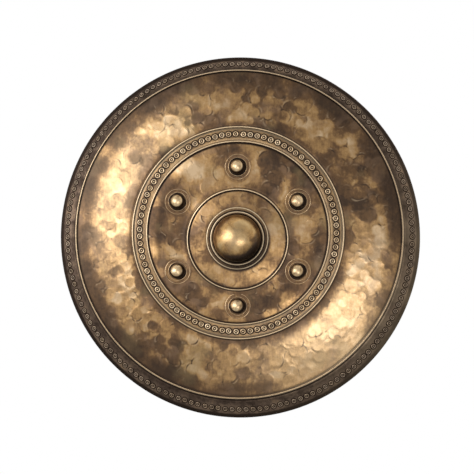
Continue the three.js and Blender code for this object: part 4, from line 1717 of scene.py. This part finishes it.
@dataclass
class HandGrip:
    """The swinging bail with its leather wrap, and the two eyes that it turns in."""

    finishes: Finishes
    base_width: float = 0.022
    base_length: float = 0.024
    base_thickness: float = 0.0025
    ear_thickness: float = 0.0035
    ear_offset: float = 0.010
    ear_radius: float = 0.0075
    eye_height: float = 0.014
    rod_radius: float = 0.0035
    bail_length: float = 0.046
    corner: float = 0.009
    hole_play: float = 0.0004
    tail: float = 0.0025
    leg_gap: float = 0.0015
    strip_width: float = 0.0105
    wrap_end: float = 0.0082
    wrap_middle: float = 0.0104

    def build(self) -> None:
        """Builds the eyes, the bail, the wrap and its whippings."""
        x, front, z = front_of("grip_bail")
        self.middle = (x, front + self.rod_radius, z)
        self._eye("right_upper", 1.0)
        self._eye("right_lower", -1.0)
        self._bail()
        self._wrap()

    def _eye(self, side: str, outward: float) -> None:
        """One eye: a riveted base and an ear that the bail's end turns in.

        Args:
            side: The rivet that holds it.
            outward: 1 if its ear is above the rivet, -1 if it is below.
        """
        node = f"grip_eye_{side}"
        x, _front, z = front_of(f"boss_rivet_{side}")
        front = front_of(node)[1]
        foot = self.eye_height - self.base_thickness + SEAT_GAP
        count = 96

        def ear_reach(turn: Array) -> Array:
            """Reach of the ear's outline from its pin hole: round above, straight down to the base.

            Args:
                turn: The directions.

            Returns:
                The reach in each.
            """
            down, across = np.maximum(-np.sin(turn), 1e-9), np.maximum(np.abs(np.cos(turn)), 1e-9)
            straight = np.minimum(self.ear_radius / across, foot / down)
            flare = 1 + 0.10 * smooth_step(0.7, 1.0, straight / math.hypot(self.ear_radius, foot))
            return np.where(np.sin(turn) > 0, self.ear_radius, straight * flare)

        base = pierced_plate(
            f"{node}_base", loop_points(rounded_box_reach(self.base_width, self.base_length, 0.005), count),
            circle_section(RIVET_HOLE, count), self.base_thickness, 0.0006, (x, front, z), Lie.ON_SHEET,
        )
        level = z + outward * self.ear_offset - self.ear_thickness / 2
        hole = circle_section(self.rod_radius + self.hole_play, count)
        ear = pierced_plate(
            f"{node}_ear", loop_points(ear_reach, count), hole,
            self.ear_thickness, 0.0007, (x, front + self.eye_height, level), Lie.FACING_UP,
        )
        for piece in (base, ear):
            dress(piece, self.finishes.brass, Slot.FITTING, node)

    def _bail(self) -> None:
        """The bent steel rod, rounded off at its ends."""
        low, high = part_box("grip_bail")
        end = (high.z - low.z) / 2
        leg = end - self.tail - self.ear_thickness - self.leg_gap - self.rod_radius
        far = self.bail_length
        stops = [(end, 0.0), (leg, 0.0), (leg, far), (-leg, far), (-leg, 0.0), (-end, 0.0)]
        rounding = [self.corner / 2, self.corner, self.corner, self.corner / 2]
        step = 0.0015
        path = resample(round_corners(stops, rounding, 10), step)
        length = (len(path) - 1) * step

        def section(share: float) -> Array:
            """The rod's section at a share of its length."""
            slope = 1 - min(min(share, 1 - share) * length / step, 1.0)
            return circle_section(self.rod_radius * math.sqrt(max(1 - slope**2, 0.09)))

        made = sweep("grip_bail_rod", place_flat(path, self.middle, Lie.FACING_SIDE), section, (1, 0, 0))
        dress(made, self.finishes.steel, Slot.CORE, "grip_bail", body=Body.GRIP)

    def _wrap(self) -> None:
        """The leather strip wound round the bar, and the thread that holds its two ends."""
        low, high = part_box("grip_wrap")
        half = (high.z - low.z) / 2
        x, y, z = self.middle[0], self.middle[1] + self.bail_length, (low.z + high.z) / 2
        rows, sides = 260, 64
        along = np.linspace(-half, half, rows)[:, None]
        turn = even_turns(sides)
        phase = (along / self.strip_width - turn / TURN) % 1.0
        lap = 0.0007 * np.clip(phase / 0.86, 0, 1) ** 0.7 * (1 - smooth_step(0.88, 1.0, phase))
        end = np.clip((half - np.abs(along)) / 0.0022, 0, 1)
        core = self.rod_radius + 0.0006
        radius = core + (self._girth(along / half) + lap - 0.0001 - core) * np.sqrt(1 - (1 - end) ** 2)
        points = np.stack([x + radius * np.cos(turn), y + radius * np.sin(turn), z + along + 0 * turn], -1)
        tips = np.array([(x, y, z - half), (x, y, z + half)])
        leather = make_object("grip_wrap_leather", *close_rows(points.reshape(-1, 3), rows, sides, tips))
        dress(leather, self.finishes.dark_leather, Slot.GRIP, "grip_wrap", body=Body.GRIP)
        for name, side in (("upper", 1.0), ("lower", -1.0)):
            turns = np.linspace(0, 4 * TURN, 4 * 40)
            place = side * (half - 0.0052) + 0.00095 * (turns / TURN - 2)
            reach = self._girth(place / half) + 0.0009
            path = np.stack([x + reach * np.cos(turns), y + reach * np.sin(turns), z + place], -1)
            cord = sweep(f"grip_whipping_{name}", path, lambda share: circle_section(0.00048, 8), (0, 0, 1))
            dress(cord, self.finishes.thread, Slot.GRIP, body=Body.GRIP)

    def _girth(self, share: Array) -> Array:
        """The wrap's radius, thickest in the middle, from -1 at one end to 1 at the other."""
        return self.wrap_middle + (self.wrap_end - self.wrap_middle) * share**2


@dataclass
class CarryingRings:
    """The two carrying rings, each hung by its bar in a clip behind the top or bottom rivet."""

    finishes: Finishes
    wire: float = 0.002
    bar: float = 0.026
    bow: float = 0.01375
    clip_width: float = 0.016
    clip_thickness: float = 0.003
    clip_reach: float = 0.009
    barrel_offset: float = 0.013
    barrel_wall: float = 0.0015
    play: float = 0.0004

    def build(self) -> None:
        """Builds both rings and both clips."""
        for side, body in (("top", Body.TOP_RING), ("bottom", Body.BOTTOM_RING)):
            x, _front, z = front_of(f"boss_rivet_{side}")
            front = front_of(f"ring_clip_{side}")[1]
            barrel = (x, front + self.wire + self.play + self.barrel_wall, z - self.barrel_offset)
            self._clip(f"ring_clip_{side}", (x, front, z), barrel)
            self._ring(f"carrying_ring_{side}", body, barrel)

    def _clip(self, node: str, rivet: Place, barrel: Place) -> None:
        """One clip: a riveted tongue that is folded round the ring's bar.

        Args:
            node: The solid that it stands for.
            rivet: The rivet's place on the tongue's front face.
            barrel: The middle of the fold.
        """
        count = 96
        x, front, z = rivet
        shift = (self.clip_reach - self.barrel_offset) / 2
        outline = rounded_box_reach(self.clip_width, self.clip_reach + self.barrel_offset, 0.003)
        hole = circle_section(RIVET_HOLE, count) - np.array([0.0, shift])
        tongue = pierced_plate(
            f"{node}_tongue", loop_points(outline, count), hole,
            self.clip_thickness, 0.0005, (x, front, z + shift), Lie.ON_SHEET,
        )
        bore = self.wire + self.play
        x, out, z = barrel
        fold = pierced_plate(
            f"{node}_fold", circle_section(bore + self.barrel_wall, count), circle_section(bore, count),
            self.clip_width, 0.0004, (x - self.clip_width / 2, out, z), Lie.FACING_SIDE,
        )
        for piece in (tongue, fold):
            dress(piece, self.finishes.brass, Slot.FITTING, node)

    def _ring(self, node: str, body: Body, barrel: Place) -> None:
        """One ring: a straight bar and a bow, bent from one wire.

        Args:
            node: The solid that it stands for.
            body: The body that it rides on.
            barrel: The middle of its bar.
        """
        reach = self.bar / 2 - self.wire
        turns = TURN - np.arange(4, 45) / 48 * math.pi
        bow = np.stack([reach * np.cos(turns), self.bow * np.sin(turns)], -1)
        before = np.array([(-0.2 * reach, 0.0), (0.8 * reach, 0.0), (0.95 * reach, -0.0006)])
        after = np.array([(-0.95 * reach, -0.0006), (-0.8 * reach, 0.0)])
        flat = resample(np.concatenate([before, bow, after]), 0.0011, closed=True)
        for _pass in range(2):
            flat = 0.5 * flat + 0.25 * (np.roll(flat, 1, 0) + np.roll(flat, -1, 0))
        path = place_flat(flat, barrel, Lie.ON_SHEET)
        made = sweep(f"{node}_wire", path, lambda share: circle_section(self.wire, 16), (0, 1, 0), True)
        dress(made, self.finishes.brass, Slot.FITTING, node, body=body)


@dataclass
class ArmPadding:
    """The padding behind the umbo: a leather backing under two of the rivets, and the cushion sewn on it."""

    finishes: Finishes
    backing_width: float = 0.112
    backing_length: float = 0.164
    backing_thickness: float = 0.0024
    tab_width: float = 0.032
    tab_length: float = 0.260
    corner: float = 0.026
    window: float = 0.021
    pad_width: float = 0.100
    pad_length: float = 0.150
    pad_thickness: float = 0.0200
    start_thickness: float = 0.0125
    edge: float = 0.0048
    seam_inset: float = 0.0036
    stitch_pitch: float = 0.0048
    channels: tuple[float, ...] = (-0.0265, 0.0265)
    channel_depth: float = 0.0035
    piping_radius: float = 0.0019
    voxel: float = 0.005
    pressure: float = 4.0
    frames: int = 20
    most_moved: float = 0.0075
    pocket_depth: float = 0.0085

    def build(self) -> None:
        """Builds the backing, the cushion, its piping and the stitches."""
        self.middle = front_of("pad_backing")
        self.pad_middle = front_of("arm_pad")
        self.start_reach = rounded_box_reach(self.pad_width - 0.003, self.pad_length - 0.003, self.corner)
        self._backing()
        self._cushion()

    def _backing_reach(self, inset: float) -> Reach:
        """Reach of the backing's outline, drawn in by an inset.

        Args:
            inset: How far it is drawn in.

        Returns:
            A function from angle to reach.
        """
        trim = 2 * inset
        sheet = rounded_box_reach(self.backing_width - trim, self.backing_length - trim, self.corner - inset)
        tabs = rounded_box_reach(self.tab_width - trim, self.tab_length - trim, self.tab_width / 2 - inset)
        return lambda turn: np.maximum(sheet(turn), tabs(turn))

    def _backing(self) -> None:
        """The backing, with a window over the umbo's nut and stitches along its edge."""
        x, y, z = self.middle
        count = 720
        window = circle_section(self.window, count) + np.array([0.0, front_of("umbo_nut")[2] - z])
        outline = resample(loop_points(self._backing_reach(0.0), 4 * count), 0.00095, closed=True)
        outline = outline[np.linspace(0, len(outline) - 1, count).astype(int)]
        made = pierced_plate(
            "pad_backing_leather", outline, window, self.backing_thickness, 0.0008, self.middle, Lie.ON_SHEET
        )
        dress(made, self.finishes.dark_leather, Slot.GRIP, "pad_backing")
        seam = loop_points(self._backing_reach(self.seam_inset), 2 * count)
        seam = resample(seam, self.stitch_pitch, closed=True)
        runs = place_flat(np.roll(seam, -1, 0) - np.roll(seam, 1, 0), (0.0, 0.0, 0.0), Lie.ON_SHEET)
        places = place_flat(seam, (x, y + self.backing_thickness, z), Lie.ON_SHEET)
        made = stitch_row("pad_backing_stitches", places, runs)
        dress(made, self.finishes.thread, Slot.GRIP)

    def _start_form(self) -> Piece:
        """The cushion before it is filled: a thin slab with grooves where its channels are sewn.

        Returns:
            The piece.
        """
        count = 120
        outline = loop_points(self.start_reach, count)
        length = np.linalg.norm(outline, axis=1)[:, None]
        shares = (0.03, 0.2, 0.4, 0.6, 0.78, 0.9)
        rows = [np.column_stack([outline * share, np.zeros(count)]) for share in shares]
        for turn in np.linspace(0, math.pi, 9):
            inset = self.edge * (1 - math.sin(turn))
            height = self.start_thickness / 2 * (1 - math.cos(turn))
            rows.append(np.column_stack([outline * (1 - inset / length), np.full(count, height)]))
        for share in (0.9, 0.82, 0.74, 0.66, 0.58, 0.5, 0.42, 0.34, 0.26, 0.18, 0.1, 0.03):
            top = outline * share
            groove = sum(self.channel_depth * bell(top[:, 1] - channel, 0.0045) for channel in self.channels)
            rows.append(np.column_stack([top, self.start_thickness - groove]))
        tips = np.array([(0.0, 0.0, 0.0), (0.0, 0.0, self.start_thickness)])
        points, quads, triangles = close_rows(np.concatenate(rows), len(rows), count, tips)
        x, y, z = self.pad_middle
        placed = place_flat(points, (x, y + SEAT_GAP, z), Lie.ON_SHEET)
        return make_object("arm_cushion", placed, quads, triangles)

    def _cushion(self) -> None:
        """The cushion, blown up by cloth simulation between its seams, with its piping and stitches."""
        cushion = self.cushion = self._start_form()
        self._swell()
        self._settle()
        smooth = cushion.modifiers.new("smooth", "SUBSURF")
        smooth.levels = smooth.render_levels = 2
        bake_modifiers(cushion)
        self._draw_in()
        dress(cushion, self.finishes.strap, Slot.STRAP, "arm_pad")
        x, y, z = self.pad_middle
        radius = self.piping_radius
        reach = rounded_box_reach(self.pad_width - 2 * radius, self.pad_length - 2 * radius, self.corner)
        outline = resample(loop_points(reach, 960), 0.002, closed=True)
        path = place_flat(outline, (x, y + self.start_thickness / 2 + SEAT_GAP, z), Lie.ON_SHEET)
        piping = sweep("arm_cushion_piping", path, lambda share: circle_section(radius, 12), (0, 1, 0), True)
        dress(piping, self.finishes.dark_leather, Slot.STRAP)
        self._channel_stitches()

    def _draw_in(self) -> None:
        """Pulls the filled cushion's cover down along its sewn channels."""
        places = read_places(self.cushion)
        across, out, along = (places - np.array(self.pad_middle)).T
        reach = rounded_box_reach(self.pad_width, self.pad_length, self.corner)
        inside = reach(np.arctan2(along, across)) - np.hypot(across, along)
        amount = smooth_step(0.006, 0.010, out) * smooth_step(0.001, 0.010, inside)
        for channel in self.channels:
            crease = 0.6 * bell(along - channel, 0.0026) + 0.4 * bell(along - channel, 0.0075)
            places[:, 1] -= self.channel_depth * crease * amount
        write_places(self.cushion, places)

    def _settle(self) -> None:
        """Keeps the filled cushion in its space, with a pocket over the umbo's nut."""
        x, y, z = self.pad_middle
        half = np.array([self.pad_width / 2, 0.0, self.pad_length / 2])
        low = np.array([x, y - 0.0001, z]) - half + SEAT_GAP
        high = np.array([x, y + self.pad_thickness, z]) + half - SEAT_GAP
        places = np.clip(read_places(self.cushion), low, high)
        reach = np.hypot(places[:, 0] - x, places[:, 2] - front_of("umbo_nut")[2])
        pocket = y + self.pocket_depth * (1 - smooth_step(0.012, 0.020, reach))
        places[:, 1] = np.maximum(places[:, 1], pocket)
        write_places(self.cushion, places)

    def _channel_stitches(self) -> None:
        """The stitches in the two sewn channels, on the finished cushion's own surface."""
        x, y, z = self.pad_middle
        half = self.pad_width / 2
        places = []
        for channel in self.channels:
            for across in np.arange(-half + 0.010, half - 0.009, 0.0052):
                start = (x + across, y + 2 * self.pad_thickness, z + channel)
                found, place, _normal, _face = self.cushion.ray_cast(start, (0.0, -1.0, 0.0))
                if found:
                    places.append(tuple(place))
        runs = np.tile(np.array([1.0, 0.0, 0.0]), (len(places), 1))
        made = stitch_row("arm_cushion_stitches", np.array(places), runs, 0.0036, 0.00050)
        dress(made, self.finishes.thread, Slot.STRAP)

    def _sewn(self, points: Array) -> Array:
        """Which points of the cushion the seams hold still.

        Args:
            points: The places of its corners.

        Returns:
            True or false for each.
        """
        across, out, along = (points - np.array(self.pad_middle)).T
        side = np.hypot(across, along) > self.start_reach(np.arctan2(along, across)) - 0.0035
        seam = side & (np.abs(out - self.start_thickness / 2) < 0.0026)
        channel = np.min([np.abs(along - place) for place in self.channels], axis=0) < 0.0026
        return seam | (channel & (out > 0.004)) | (out < 0.0012)

    def _swell(self) -> None:
        """Blows the thin form up by cloth simulation and leaves the result in its mesh."""
        scene, cushion = bpy.context.scene, self.cushion
        remesh = cushion.modifiers.new("even_faces", "REMESH")
        remesh.mode = "VOXEL"
        remesh.voxel_size = self.voxel
        bake_modifiers(cushion)
        start = read_places(cushion)
        group = cushion.vertex_groups.new(name="sewn")
        group.add([int(index) for index in np.nonzero(self._sewn(start))[0]], 1.0, "REPLACE")
        cloth = cushion.modifiers.new("filling", "CLOTH")
        settings = cloth.settings
        settings.quality = 6
        settings.mass = 0.3
        settings.tension_stiffness = settings.compression_stiffness = 12.0
        settings.bending_stiffness = 0.6
        settings.use_pressure = True
        settings.uniform_pressure_force = self.pressure
        settings.vertex_group_mass = group.name
        settings.effector_weights.gravity = 0.0
        cloth.point_cache.frame_end = self.frames
        for frame_number in range(1, self.frames + 1):
            scene.frame_set(frame_number)
        move = read_places(cushion.evaluated_get(bpy.context.evaluated_depsgraph_get())) - start
        length = np.maximum(np.linalg.norm(move, axis=1)[:, None], 1e-9)
        cushion.modifiers.remove(cloth)
        cushion.vertex_groups.clear()
        write_places(cushion, start + move * np.minimum(length, self.most_moved) / length)
        cushion.data.shade_smooth()
        scene.frame_set(1)


def bake_modifiers(made: Piece) -> None:
    """Turns what the modifiers make of a mesh into the mesh itself.

    Args:
        made: The piece.
    """
    shaped = made.evaluated_get(bpy.context.evaluated_depsgraph_get())
    mesh = bpy.data.meshes.new_from_object(shaped)
    made.modifiers.clear()
    made.data = mesh


# The studio


def look_back(made: Piece, azimuth: float, elevation: float, distance: float, target: Vector) -> None:
    """Puts a lamp or a camera round the shield and aims it at a point.

    Args:
        made: The lamp or camera.
        azimuth: The angle round the shield, nought in front and 90 on the +X side.
        elevation: The angle above the shield's level.
        distance: How far from the point it is.
        target: The point.
    """
    turn, rise = math.radians(azimuth), math.radians(elevation)
    away = Vector((math.sin(turn) * math.cos(rise), -math.cos(turn) * math.cos(rise), math.sin(rise)))
    made.location = target + away * distance
    made.rotation_mode = "QUATERNION"
    made.rotation_quaternion = (-away).to_track_quat("-Z", "Y")


@dataclass
class Softbox:
    """A square lamp that looks at the shield."""

    name: str
    azimuth: float
    elevation: float
    distance: float
    width: float
    height: float
    radiance: float
    colour: Colour = (1.0, 1.0, 1.0)

    def build(self) -> None:
        """Makes the lamp."""
        lamp = bpy.data.lights.new(self.name, "AREA")
        lamp.shape = "RECTANGLE"
        lamp.size = self.width
        lamp.size_y = self.height
        lamp.energy = self.radiance * math.pi * self.width * self.height
        lamp.color = self.colour
        made = add_to_scene(self.name, lamp)
        look_back(made, self.azimuth, self.elevation, self.distance, Vector())
        made.visible_camera = False


@dataclass
class Studio:
    """The camera, the lamps, the surroundings and a pale floor one metre below the shield."""

    camera_azimuth: float = 4.3
    camera_elevation: float = 0.3
    camera_distance: float = 4.5
    aim_across: float = -0.0046
    aim_up: float = 0.0009
    lens: float = 205.0
    sensor: float = 36.0
    floor_depth: float = 1.0
    floor_radius: float = 2.6
    floor_thickness: float = 0.02
    floor_colour: Colour = (0.66, 0.66, 0.65)
    floor_light: Colour = (0.70, 0.70, 0.69)
    ambient: float = 0.45
    room_level: float = 0.60

    def build(self) -> None:
        """Sets up the studio, with lamps on the left, low on the right and behind."""
        self._camera()
        self._world()
        self._floor()
        for lamp in (
            Softbox("left_softbox", -43.0, 9.0, 2.4, 2.1, 1.3, 3.2, (0.98, 0.98, 1.0)),
            Softbox("right_softbox", 14.0, -22.0, 2.6, 1.2, 1.1, 3.75, (0.98, 0.98, 1.0)),
            Softbox("rear_softbox", 150.0, 35.0, 2.4, 1.6, 1.6, 2.2),
        ):
            lamp.build()
        bpy.context.scene.view_settings.view_transform = "Standard"

    def _camera(self) -> None:
        """The camera at the photograph's viewing angle."""
        data = bpy.data.cameras.new("camera")
        data.lens = self.lens
        data.sensor_width = self.sensor
        made = add_to_scene("camera", data)
        target = Vector((self.aim_across, 0.0, self.aim_up))
        look_back(made, self.camera_azimuth, self.camera_elevation, self.camera_distance, target)
        bpy.context.scene.camera = made

    def _world(self) -> None:
        """A white wall behind the shield, dimmer in front, and a plain soft light for matt surfaces."""
        world = bpy.data.worlds.new("studio")
        bpy.context.scene.world = world
        world.use_nodes = True
        graph = NodeGraph(world.node_tree)
        rays = graph.add("LightPath", {}).outputs
        camera = rays["Is Camera Ray"]
        seen = graph.calculate("MAXIMUM", camera, rays["Is Glossy Ray"])
        seen = graph.calculate("MAXIMUM", seen, rays["Is Transmission Ray"])
        towards = graph.add("SeparateXYZ", {0: graph.add("TexCoord", {}).outputs["Generated"]}).outputs["Y"]
        wall = graph.span(towards, -0.70, -0.05, self.room_level, 1.0)
        plain, surround = (
            graph.add("Background", {"Color": (1.0, 1.0, 1.0), "Strength": strength}).outputs[0]
            for strength in (self.ambient, graph.calculate("MAXIMUM", camera, wall))
        )
        mixed = graph.add("MixShader", {0: seen, 1: plain, 2: surround}).outputs[0]
        graph.add("OutputWorld", {"Surface": mixed})

    def _floor(self) -> None:
        """A round pale floor."""
        sides = 96
        ring = circle_section(self.floor_radius, sides)
        levels = (-self.floor_depth, -self.floor_depth - self.floor_thickness)
        points = np.concatenate([np.column_stack([ring, np.full(sides, level)]) for level in levels])
        tips = np.array([(0.0, 0.0, level) for level in levels])
        made = make_object("studio_floor", *close_rows(points, 2, sides, tips))
        graph = ShaderGraph("floor_paper")
        tone = graph.ramp(graph.noise(0.5, 2.0), (0.3, self.floor_colour), (0.7, self.floor_light))
        made.data.materials.append(graph.finish({"Base Color": tone, "Roughness": 0.8}))


def main() -> None:
    """Builds the shield's visual pieces and the studio round them."""
    logging.basicConfig(level=logging.INFO, format="%(name)s: %(message)s")
    Studio().build()
    finishes = Finishes()
    form = PlateForm()
    ShieldPlate(form, finishes).build()
    Circlets("band_circlets", 0.1630, 87, 0.0063, 11).build(form, finishes.circlets)
    Circlets("rim_circlets", 0.2868, 156, 0.0056, 13).build(form, finishes.rim_circlets)
    Umbo(finishes).build()
    BossRivets(form, finishes).build()
    ArmStrap(finishes).build()
    HandGrip(finishes).build()
    CarryingRings(finishes).build()
    ArmPadding(finishes).build()


if __name__ == "__main__":
    main()
